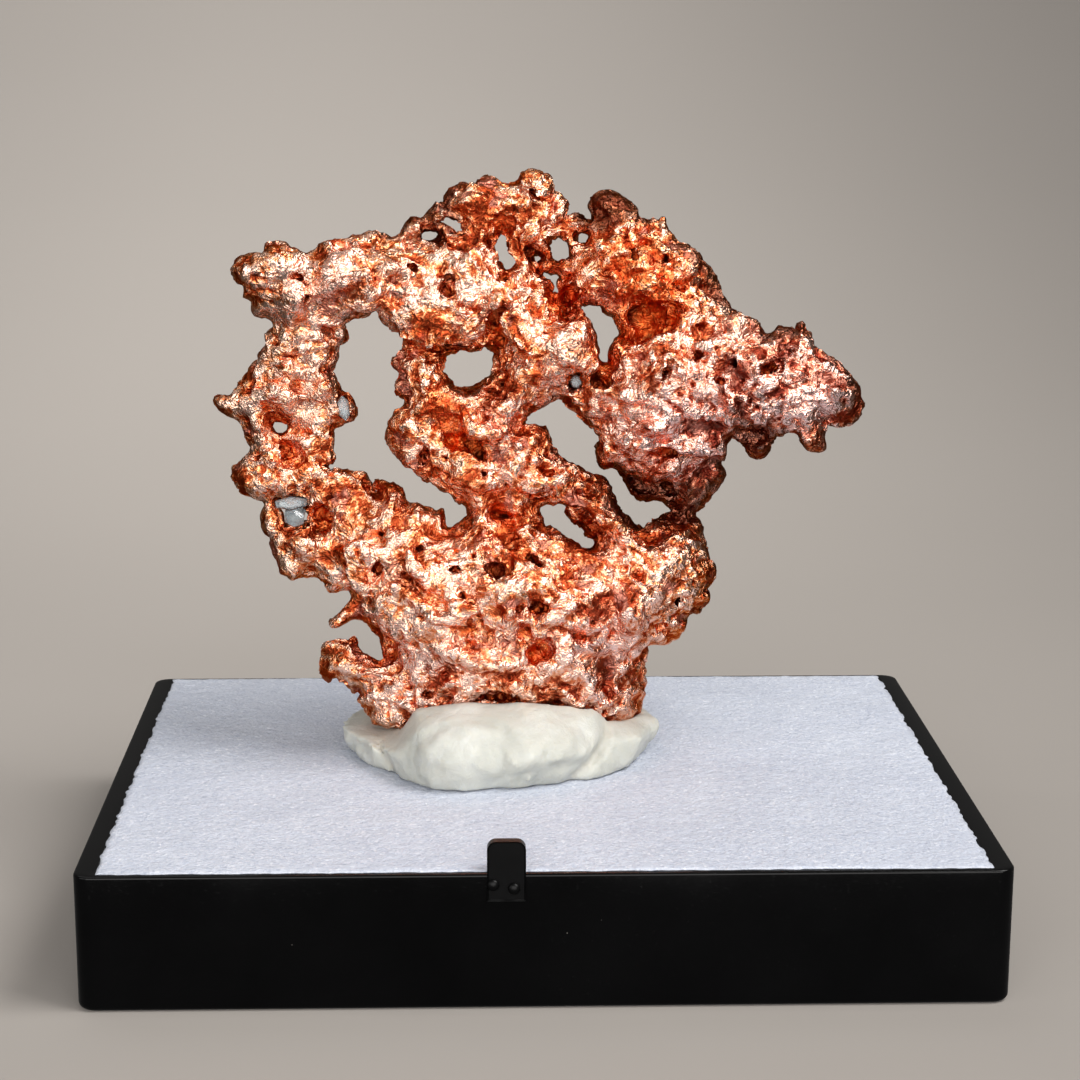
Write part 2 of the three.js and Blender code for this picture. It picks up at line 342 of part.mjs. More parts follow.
// sheaf point to space and back
const toSpace = (x, t, z) => {
  const y = PLANE_Y + t, s = (y - EYE[1]) / (PLANE_Y - EYE[1]);
  return [EYE[0] + (x - EYE[0]) * s, y, EYE[2] + (z - EYE[2]) * s];
};
const toSheaf = (x, y, z) => {
  const s = (PLANE_Y - EYE[1]) / (y - EYE[1]);
  return [EYE[0] + (x - EYE[0]) * s, y - PLANE_Y, EYE[2] + (z - EYE[2]) * s];
};
function crystalValue(c, x, t, z) {
  const [cx, ct, cz, a, b, h, turn, lean] = c;
  const px = x - cx, pt = t - ct, pz = z - cz;
  const u = px * Math.cos(turn) + pz * Math.sin(turn), v0 = -px * Math.sin(turn) + pz * Math.cos(turn);
  const w = pt * Math.cos(lean) + v0 * Math.sin(lean), v = -pt * Math.sin(lean) + v0 * Math.cos(lean);
  return Math.min(a - Math.abs(u), b - Math.abs(w), h - Math.abs(v));
}
const RELIEF_PAD = 1.4;
function reliefValue(f, x, t, z) {
  if (Math.abs(f[0]) === 1) {
    const [, cx, ct, cz, a, b, c, turn] = f, r = Math.max(a, c) + RELIEF_PAD;
    const px = x - cx, pt = t - ct, pz = z - cz;
    if (Math.abs(px) > r || Math.abs(pz) > r || Math.abs(pt) > b + RELIEF_PAD) return null;
    const u = px * Math.cos(turn) + pz * Math.sin(turn), v = -px * Math.sin(turn) + pz * Math.cos(turn);
    const k0 = Math.hypot(u / a, pt / b, v / c) + 1e-9, k1 = Math.hypot(u / a ** 2, pt / b ** 2, v / c ** 2) + 1e-9;
    return k0 * (1 - k0) / k1;
  }
  const [, x0, t0, z0, x1, t1, z1, R] = f, r = R + RELIEF_PAD;
  if (x < Math.min(x0, x1) - r || x > Math.max(x0, x1) + r || z < Math.min(z0, z1) - r || z > Math.max(z0, z1) + r
    || t < Math.min(t0, t1) - r || t > Math.max(t0, t1) + r) return null;
  const ex = x1 - x0, et = t1 - t0, ez = z1 - z0;
  const q = clamp(((x - x0) * ex + (t - t0) * et + (z - z0) * ez) / (ex * ex + et * et + ez * ez + 1e-9), 0, 1);
  return R - Math.hypot(x - x0 - ex * q, t - t0 - et * q, z - z0 - ez * q);
}
const smoothstep = (a, b, x) => { const t = clamp((x - a) / (b - a), 0, 1); return t * t * (3 - 2 * t); };
// the foot is a little shorter under its two side toes
const footLevel = (x) => NUGGET_FOOT + 1.2 * smoothstep(5.0, 8.0, x) + 1.4 * smoothstep(-11.5, -13.5, x);
function copperValue(x, t, z, d, m, h) {
  const q = Math.max(h - d, 0), w = Math.abs(t - m);
  let F = h - Math.sqrt(q * q + w * w);
  // the relief is bent by a slow noise so that no lump is a true ellipsoid
  const wx = x + 0.9 * noise(x / 2.6 + 7.3, t / 2.6, z / 2.6), wt = t + 0.6 * noise(x / 2.6, t / 2.6 + 5.1, z / 2.6), wz = z + 0.9 * noise(x / 2.6, t / 2.6, z / 2.6 + 3.7);
  for (const f of RELIEF) {
    const g = reliefValue(f, wx, wt, wz);
    if (g === null) continue;
    if (f[0] > 0) F = smax(F, smin(g, d * 1.5, 0.6), 0.5);
    else F = smin(F, -g, 0.35);
  }
  const e = clamp(d / 1.2, 0.2, 1);
  F += e * (0.55 * noise(x / 3.1, t / 3.1, z / 3.1) + 0.35 * noise(x / 1.7 + 11.3, t / 1.7, z / 1.7 + 2.9));
  F += SWELL;
  for (const list of Object.values(CRYSTALS)) for (const c of list) {
    if (Math.abs(x - c[0]) + Math.abs(z - c[2]) > 7) continue;
    F = Math.min(F, -(crystalValue(c, x, t, z) + CRYSTAL_CLEAR));
  }
  const foot = toSpace(x, t, z)[2] - footLevel(x);
  return smin(F, foot, 0.8);
}
function puttyValue(x, y, z) {
  const dx = x - PUTTY_C[0], dy = y - PUTTY_C[1], n = PUTTY_PLAN.length;
  const a = ((Math.atan2(dy, dx) / (2 * Math.PI) + 1) % 1) * n, i = Math.floor(a), f = a - i, e = f * f * (3 - 2 * f);
  const r = Math.hypot(dx, dy) / (PUTTY_PLAN[i % n] * (1 - e) + PUTTY_PLAN[(i + 1) % n] * e);
  const top = PUTTY_TOP - 4.7 * smoothstep(-11.2, -14.4, x) - 3.0 * smoothstep(5.2, 8.4, x);
  const zc = PUTTY_BASE + 2.4, up = top - zc, dn = zc - PUTTY_BASE;
  const v = z > zc ? (z - zc) / up : (zc - z) / (dn + 4);
  const k = Math.pow(Math.pow(r, 2.4) + Math.pow(v, 2.4), 1 / 2.4);
  let F = (1 - k) * 8 + 0.35 * noise(x / 4.1, y / 4.1 + 9.2, z / 4.1);
  F = Math.min(F, z - PUTTY_BASE);
  return F;
}

// Surface of a sampled field by marching tetrahedra: always closed and two-sided.
const PATHS = [[1, 3], [1, 5], [2, 3], [2, 6], [4, 5], [4, 6]];
function surfaceOf(F, nx, ny, nz, at) {
  const id = (i, j, k) => (i * ny + j) * nz + k;
  const pos = [], tri = [], edge = new Map();
  const P = (n) => { const k = n % nz, j = ((n - k) / nz) % ny, i = Math.floor(n / (ny * nz)); return [i, j, k]; };
  const vert = (a, b) => {
    if (a > b) { const t = a; a = b; b = t; }
    const key = a * 4294967 + (b - a), got = edge.get(key);
    if (got !== undefined) return got;
    const s = clamp(F[a] / (F[a] - F[b]), 0.06, 0.94), p = P(a), q = P(b);
    pos.push(mix(p[0], q[0], s), mix(p[1], q[1], s), mix(p[2], q[2], s));
    edge.set(key, pos.length / 3 - 1);
    return pos.length / 3 - 1;
  };
  const emit = (a, b, c, from, to) => {
    const ux = pos[3 * b] - pos[3 * a], uy = pos[3 * b + 1] - pos[3 * a + 1], uz = pos[3 * b + 2] - pos[3 * a + 2];
    const vx = pos[3 * c] - pos[3 * a], vy = pos[3 * c + 1] - pos[3 * a + 1], vz = pos[3 * c + 2] - pos[3 * a + 2];
    const n = [uy * vz - uz * vy, uz * vx - ux * vz, ux * vy - uy * vx];
    const s = n[0] * (to[0] - from[0]) + n[1] * (to[1] - from[1]) + n[2] * (to[2] - from[2]);
    if (s > 0) tri.push(a, b, c); else tri.push(a, c, b);
  };
  const mean = (l) => { const m = [0, 0, 0]; for (const n of l) { const p = P(n); m[0] += p[0] / l.length; m[1] += p[1] / l.length; m[2] += p[2] / l.length; } return m; };
  for (let i = 0; i + 1 < nx; i++) for (let j = 0; j + 1 < ny; j++) for (let k = 0; k + 1 < nz; k++) {
    const c = [];
    let any = 0;
    for (let b = 0; b < 8; b++) { const n = id(i + (b & 1), j + ((b >> 1) & 1), k + ((b >> 2) & 1)); c.push(n); if (F[n] > 0) any++; }
    if (any === 0 || any === 8) continue;
    for (const [p, q] of PATHS) {
      const t = [c[0], c[p], c[q], c[7]], inn = t.filter((n) => F[n] > 0), out = t.filter((n) => F[n] <= 0);
      if (!inn.length || !out.length) continue;
      const from = mean(inn), to = mean(out);
      if (inn.length === 1) emit(vert(inn[0], out[0]), vert(inn[0], out[1]), vert(inn[0], out[2]), from, to);
      else if (inn.length === 3) emit(vert(inn[0], out[0]), vert(inn[1], out[0]), vert(inn[2], out[0]), from, to);
      else {
        const a = vert(inn[0], out[0]), b = vert(inn[0], out[1]), d = vert(inn[1], out[1]), e = vert(inn[1], out[0]);
        emit(a, b, d, from, to); emit(a, d, e, from, to);
      }
    }
  }
  for (let v = 0; v < pos.length; v += 3) { const w = at(pos[v], pos[v + 1], pos[v + 2]); pos[v] = w[0]; pos[v + 1] = w[1]; pos[v + 2] = w[2]; }
  return { pos, tri };
}
function sample(lo, hi, step, value, at) {
  const n = [0, 1, 2].map((a) => Math.ceil((hi[a] - lo[a]) / step) + 1);
  const F = new Float64Array(n[0] * n[1] * n[2]);
  const tiny = step * 0.01;
  for (let i = 0; i < n[0]; i++) for (let k = 0; k < n[2]; k++) {
    const x = lo[0] + i * step, z = lo[2] + k * step, column = value.column ? value.column(x, z) : null;
    for (let j = 0; j < n[1]; j++) {
      let f = value.at(x, lo[1] + j * step, z, column);
      if (Math.abs(f) < tiny) f = f > 0 ? tiny : -tiny;
      if (i === 0 || j === 0 || k === 0 || i === n[0] - 1 || j === n[1] - 1 || k === n[2] - 1) f = -step;
      F[(i * n[1] + j) * n[2] + k] = f;
    }
  }
  return surfaceOf(F, ...n, (a, b, c) => at(lo[0] + a * step, lo[1] + b * step, lo[2] + c * step));
}
// keep only the shell that encloses the most
function largestShell(m) {
  const n = m.pos.length / 3, up = Array.from({ length: n }, (_, i) => i);
  const find = (a) => { while (up[a] !== a) { up[a] = up[up[a]]; a = up[a]; } return a; };
  for (let i = 0; i < m.tri.length; i += 3) { const a = find(m.tri[i]); up[find(m.tri[i + 1])] = a; up[find(m.tri[i + 2])] = a; }
  const vol = new Map(), p = m.pos;
  for (let i = 0; i < m.tri.length; i += 3) {
    const [a, b, c] = [m.tri[i] * 3, m.tri[i + 1] * 3, m.tri[i + 2] * 3];
    const v = p[a] * (p[b + 1] * p[c + 2] - p[b + 2] * p[c + 1]) - p[a + 1] * (p[b] * p[c + 2] - p[b + 2] * p[c]) + p[a + 2] * (p[b] * p[c + 1] - p[b + 1] * p[c]);
    const r = find(m.tri[i]); vol.set(r, (vol.get(r) || 0) + v / 6);
  }
  let keep = -1, most = -1;
  for (const [r, v] of vol) if (v > most) { most = v; keep = r; }
  const to = new Map(), pos = [], tri = [];
  for (let i = 0; i < m.tri.length; i += 3) {
    if (find(m.tri[i]) !== keep) continue;
    for (let j = 0; j < 3; j++) {
      const v = m.tri[i + j];
      if (!to.has(v)) { to.set(v, pos.length / 3); pos.push(p[3 * v], p[3 * v + 1], p[3 * v + 2]); }
      tri.push(to.get(v));
    }
  }
  return { pos, tri };
}
// Edge collapse by quadric error, keeping the body closed, down to a number of triangles.
function reduce(m, target) {
  const nv = m.pos.length / 3, nt = m.tri.length / 3, p = m.pos.slice(), T = m.tri.slice();
  const Q = new Float64Array(nv * 10), faces = Array.from({ length: nv }, () => new Set()), dead = new Uint8Array(nt), stamp = new Uint32Array(nv);
  const normal = (a, b, c) => {
    const ux = b[0] - a[0], uy = b[1] - a[1], uz = b[2] - a[2], vx = c[0] - a[0], vy = c[1] - a[1], vz = c[2] - a[2];
    return [uy * vz - uz * vy, uz * vx - ux * vz, ux * vy - uy * vx];
  };
  const pt = (v) => [p[3 * v], p[3 * v + 1], p[3 * v + 2]];
  for (let f = 0; f < nt; f++) {
    const a = pt(T[3 * f]), n = normal(a, pt(T[3 * f + 1]), pt(T[3 * f + 2])), L = Math.hypot(...n) || 1e-12;
    const [x, y, z] = n.map((c) => c / L), d = -(x * a[0] + y * a[1] + z * a[2]), w = L;
    const q = [x * x, x * y, x * z, x * d, y * y, y * z, y * d, z * z, z * d, d * d];
    for (let j = 0; j < 3; j++) { const v = T[3 * f + j]; faces[v].add(f); for (let k = 0; k < 10; k++) Q[10 * v + k] += q[k] * w; }
  }
  const err = (q, x, y, z) => q[0] * x * x + 2 * q[1] * x * y + 2 * q[2] * x * z + 2 * q[3] * x + q[4] * y * y + 2 * q[5] * y * z + 2 * q[6] * y + q[7] * z * z + 2 * q[8] * z + q[9];
  const best = (u, v) => {
    const q = []; for (let k = 0; k < 10; k++) q.push(Q[10 * u + k] + Q[10 * v + k]);
    const a = pt(u), b = pt(v), mid = [(a[0] + b[0]) / 2, (a[1] + b[1]) / 2, (a[2] + b[2]) / 2];
    const L2 = (a[0] - b[0]) ** 2 + (a[1] - b[1]) ** 2 + (a[2] - b[2]) ** 2;
    // a light pull to the middle of the edge keeps the solve well behaved
    const tr = (q[0] + q[4] + q[7]) * 1e-3 + 1e-9;
    const A = [q[0] + tr, q[1], q[2], q[4] + tr, q[5], q[7] + tr], B = [-q[3] + tr * mid[0], -q[6] + tr * mid[1], -q[8] + tr * mid[2]];
    const det = A[0] * (A[3] * A[5] - A[4] * A[4]) - A[1] * (A[1] * A[5] - A[4] * A[2]) + A[2] * (A[1] * A[4] - A[3] * A[2]);
    let w = mid;
    if (Math.abs(det) > 1e-18) {
      const x = (B[0] * (A[3] * A[5] - A[4] * A[4]) - A[1] * (B[1] * A[5] - A[4] * B[2]) + A[2] * (B[1] * A[4] - A[3] * B[2])) / det;
      const y = (A[0] * (B[1] * A[5] - A[4] * B[2]) - B[0] * (A[1] * A[5] - A[4] * A[2]) + A[2] * (A[1] * B[2] - B[1] * A[2])) / det;
      const z = (A[0] * (A[3] * B[2] - B[1] * A[4]) - A[1] * (A[1] * B[2] - B[1] * A[2]) + B[0] * (A[1] * A[4] - A[3] * A[2])) / det;
      if ((x - mid[0]) ** 2 + (y - mid[1]) ** 2 + (z - mid[2]) ** 2 < L2) w = [x, y, z];
    }
    return [Math.max(err(q, ...w), 0) + 1e-4 * L2 * Math.sqrt(L2), w];
  };
  const heap = [];
  const push = (e) => { heap.push(e); let i = heap.length - 1; while (i > 0) { const j = (i - 1) >> 1; if (heap[j][0] <= heap[i][0]) break; const t = heap[i]; heap[i] = heap[j]; heap[j] = t; i = j; } };
  const pop = () => {
    const top = heap[0], last = heap.pop();
    if (heap.length) { heap[0] = last; let i = 0; for (;;) { let c = 2 * i + 1; if (c >= heap.length) break; if (c + 1 < heap.length && heap[c + 1][0] < heap[c][0]) c++; if (heap[i][0] <= heap[c][0]) break; const t = heap[i]; heap[i] = heap[c]; heap[c] = t; i = c; } }
    return top;
  };
  const around = (v) => { const s = new Set(); for (const f of faces[v]) for (let j = 0; j < 3; j++) if (T[3 * f + j] !== v) s.add(T[3 * f + j]); return s; };
  const queue = (u, v) => { const [c, w] = best(u, v); push([c, u, v, w, stamp[u], stamp[v]]); };
  for (let f = 0; f < nt; f++) for (let j = 0; j < 3; j++) { const u = T[3 * f + j], v = T[3 * f + (j + 1) % 3]; if (u < v) queue(u, v); }
  let left = nt;
  while (left > target && heap.length) {
    const [, u, v, w, su, sv] = pop();
    if (stamp[u] !== su || stamp[v] !== sv || !faces[u].size || !faces[v].size) continue;
    const nu = around(u), nw = around(v);
    if (!nu.has(v)) continue;
    let common = 0; for (const a of nu) if (nw.has(a)) common++;
    const shared = [...faces[u]].filter((f) => faces[v].has(f));
    if (common !== 2 || shared.length !== 2 || nu.size + nw.size - 4 > 14 || nu.size + nw.size - 4 < 3) continue;
    let ok = true;
    for (const [a, list] of [[u, faces[u]], [v, faces[v]]]) {
      for (const f of list) {
        if (shared.includes(f)) continue;
        const t = [T[3 * f], T[3 * f + 1], T[3 * f + 2]], o = t.map(pt), n0 = normal(...o), n1 = normal(...t.map((c, i) => (c === a ? w : o[i])));
        const l0 = Math.hypot(...n0), l1 = Math.hypot(...n1);
        const dot = (n0[0] * n1[0] + n0[1] * n1[1] + n0[2] * n1[2]) / (l0 * l1 + 1e-18);
        const e = t.map((c, i) => (c === a ? w : o[i]));
        const longest = Math.max((e[0][0] - e[1][0]) ** 2 + (e[0][1] - e[1][1]) ** 2 + (e[0][2] - e[1][2]) ** 2, (e[1][0] - e[2][0]) ** 2 + (e[1][1] - e[2][1]) ** 2 + (e[1][2] - e[2][2]) ** 2, (e[2][0] - e[0][0]) ** 2 + (e[2][1] - e[0][1]) ** 2 + (e[2][2] - e[0][2]) ** 2);
        if (dot < 0.35 || l1 < 0.06 * longest) { ok = false; break; }
      }
      if (!ok) break;
    }
    if (!ok) continue;
    p[3 * u] = w[0]; p[3 * u + 1] = w[1]; p[3 * u + 2] = w[2];
    for (let k = 0; k < 10; k++) Q[10 * u + k] += Q[10 * v + k];
    for (const f of shared) { dead[f] = 1; for (let j = 0; j < 3; j++) faces[T[3 * f + j]].delete(f); }
    for (const f of faces[v]) { for (let j = 0; j < 3; j++) if (T[3 * f + j] === v) T[3 * f + j] = u; faces[u].add(f); }
    faces[v].clear(); left -= 2; stamp[u]++; stamp[v]++;
    for (const a of around(u)) queue(u, a);
  }
  const to = new Map(), pos = [], tri = [];
  for (let f = 0; f < nt; f++) {
    if (dead[f]) continue;
    for (let j = 0; j < 3; j++) { const v = T[3 * f + j]; if (!to.has(v)) { to.set(v, pos.length / 3); pos.push(p[3 * v], p[3 * v + 1], p[3 * v + 2]); } tri.push(to.get(v)); }
  }
  return { pos, tri };
}

// ================================================================ pieces
function crystalBody(list) {
  let all = null;
  for (const [cx, ct, cz, a, b, h, turn, lean] of list) {
    // a squat rhomb with bevelled ends
    const g = new THREE.CylinderGeometry(0.86, 1, 2, 6, 1);
    g.rotateY(Math.PI / 6);
    g.rotateX(Math.PI / 2);                      // prism axis along depth
    g.scale(a, b, h * 1.1);
    g.rotateX(-lean);
    g.rotateY(-turn);
    g.translate(...toSpace(cx, ct, cz));
    const s = solid(weld(g));
    all = all ? all.add(s) : s;
  }
  return bodyOf(all);
}
function nuggetBody() {
  const xs = OUTLINE[0].filter((_, i) => i % 2 === 0), zs = OUTLINE[0].filter((_, i) => i % 2 === 1);
  const value = {
    column: (x, z) => { const d = outlineDistance(x, z); return [d, ...(d > -2 ? thickness(x, z) : [0, 1])]; },
    at: (x, t, z, [d, m, h]) => (d < -1.2 ? Math.max(d, -3) : copperValue(x, t, z, d, m, h)),
  };
  const m = sample([Math.min(...xs) - 2 * CELL, -12.5, NUGGET_FOOT - 3], [Math.max(...xs) + 2 * CELL, 12.5, Math.max(...zs) + 2 * CELL], CELL, value, toSpace);
  return reduce(largestShell(m), NUGGET_TRIANGLES);
}
function puttyBody() {
  const value = { at: (x, y, z) => {
    const f = puttyValue(x, y, z);
    if (f < -2) return f;
    const [sx, st, sz] = toSheaf(x, y, z), d = outlineDistance(sx, sz), [m, h] = thickness(sx, sz);
    const q = Math.max(h - d, 0), w = st - m, slab = h - Math.sqrt(q * q + w * w);
    return Math.min(f, -smin(slab + PUTTY_CLEAR, z - footLevel(x) + PUTTY_SEAT, 0.8));
  } };
  const m = sample([PUTTY_C[0] - 18, PUTTY_C[1] - 18, PUTTY_BASE - 0.9], [PUTTY_C[0] + 18, PUTTY_C[1] + 14, PUTTY_TOP + 1.5], 1.1, value, (x, y, z) => [x, y, Math.max(z, PUTTY_BASE)]);
  return reduce(largestShell(m), PUTTY_TRIANGLES);
}
function foamBody() {
  const w = TRAY_W / 2 - WALL - GAP, l = TRAY_L / 2 - WALL_END - GAP, z0 = FLOOR + GAP, dr = 2 * TRAY_DRAFT;
  const at = (z, i) => ring(w - (TRAY_H - z) * dr - i, l - (TRAY_H - z) * dr - i, Math.max(TRAY_CORNER - 0.9 - i * 0.5, 0.3), z);
  return stack([at(z0, 0.2), at(z0 + 0.2, 0), at(FOAM_TOP - 0.3, 0), at(FOAM_TOP, 0.3)]);
}

const black = { color: 0x0d0d0e, roughness: 0.18, metalness: 0.0 };
const pieces = [];
{
  let s = solid(trayBody()).add(solid(tongueBody()));
  for (const [x, z] of PIPS) s = s.add(solid(pipBody(x, z)));
  pieces.push(['box_base', bodyOf(s), black]);
}
pieces.push(['foam_insert', foamBody(), { color: 0xd8dde6, roughness: 0.95, metalness: 0.0 }]);
pieces.push(['putty', puttyBody(), { color: 0xebebe0, roughness: 0.55, metalness: 0.0 }]);
pieces.push(['copper_nugget', nuggetBody(), { color: 0xc97a55, roughness: 0.35, metalness: 1.0 }]);
for (const [name, list] of Object.entries(CRYSTALS)) pieces.push([name, crystalBody(list), { color: 0xb8b6b0, roughness: 0.3, metalness: 0.0 }]);

const specimen = new THREE.Group();
specimen.name = 'copper_specimen';
for (const [name, body, look] of pieces) {
  const mesh = new THREE.Mesh(geometryOf(body.pos, body.tri), new THREE.MeshStandardMaterial(look));
  mesh.name = name;
  specimen.add(mesh);
}
export default specimen;
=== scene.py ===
# Native copper nugget in white putty on the foam bed of a shallow black tray.
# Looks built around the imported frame. Millimetres inside, metres in Blender.
import bpy, math
import numpy as np
from mathutils import Matrix, Vector


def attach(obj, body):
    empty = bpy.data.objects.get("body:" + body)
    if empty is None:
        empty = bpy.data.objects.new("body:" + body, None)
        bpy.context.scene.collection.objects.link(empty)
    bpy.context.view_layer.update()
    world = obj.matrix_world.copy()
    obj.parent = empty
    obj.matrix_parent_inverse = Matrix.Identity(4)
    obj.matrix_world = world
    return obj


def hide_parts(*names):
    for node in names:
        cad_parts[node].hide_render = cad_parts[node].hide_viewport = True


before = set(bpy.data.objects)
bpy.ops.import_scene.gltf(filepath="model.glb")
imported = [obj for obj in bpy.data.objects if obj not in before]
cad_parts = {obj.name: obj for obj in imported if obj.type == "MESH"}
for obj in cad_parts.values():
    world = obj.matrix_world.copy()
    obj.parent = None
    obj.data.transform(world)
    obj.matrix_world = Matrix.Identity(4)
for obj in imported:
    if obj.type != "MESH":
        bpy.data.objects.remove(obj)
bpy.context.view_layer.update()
MM = 0.001

# ------------------------------------------------------------------ camera
EYE = np.array([-7.505, -243.311, 88.130])              # mm
VIEW = np.array([[0.999494, -0.0316671, 0.00298], [-0.0038182, -0.2124666, -0.9771609], [0.031577, 0.9766551, -0.21248]])              # rows: right, down, forward
FOCAL_PX = 2552.777                   # for a frame 1080 wide

def make_camera():
    cam = bpy.data.cameras.new("Camera")
    ob = bpy.data.objects.new("Camera", cam)
    bpy.context.scene.collection.objects.link(ob)
    cam.sensor_fit = "HORIZONTAL"
    cam.sensor_width = 36.0
    cam.lens = FOCAL_PX / 1080.0 * 36.0
    cam.clip_start = 0.01
    cam.clip_end = 20.0
    r, d, f = VIEW
    m = Matrix(((r[0], -d[0], -f[0], EYE[0] * MM), (r[1], -d[1], -f[1], EYE[1] * MM), (r[2], -d[2], -f[2], EYE[2] * MM), (0, 0, 0, 1)))
    ob.matrix_world = m
    bpy.context.scene.camera = ob
    return ob

camera = make_camera()

# ------------------------------------------------------------------ measures, mm
TRAY_W, TRAY_L, TRAY_H = 82.5, 65.0, 12.5
DRAFT = math.tan(math.radians(0.25))
WALL, WALL_END, FLOOR = 2.0, 0.9, 1.6
FOAM_TOP, GAP = 12.6, 0.3
PLANE_Y = 4.5
NUGGET_FOOT = 14.7
PUTTY_C, PUTTY_TOP, PUTTY_BASE = (-3.6, 4.5), 20.5, 12.9
PUTTY_PLAN = [15.7, 15.3, 13.4, 12.02, 11.55, 12.23, 13.4, 14.92, 15.52, 14.71, 14.45, 15.42, 14.91, 14.18, 14.3, 15.2]

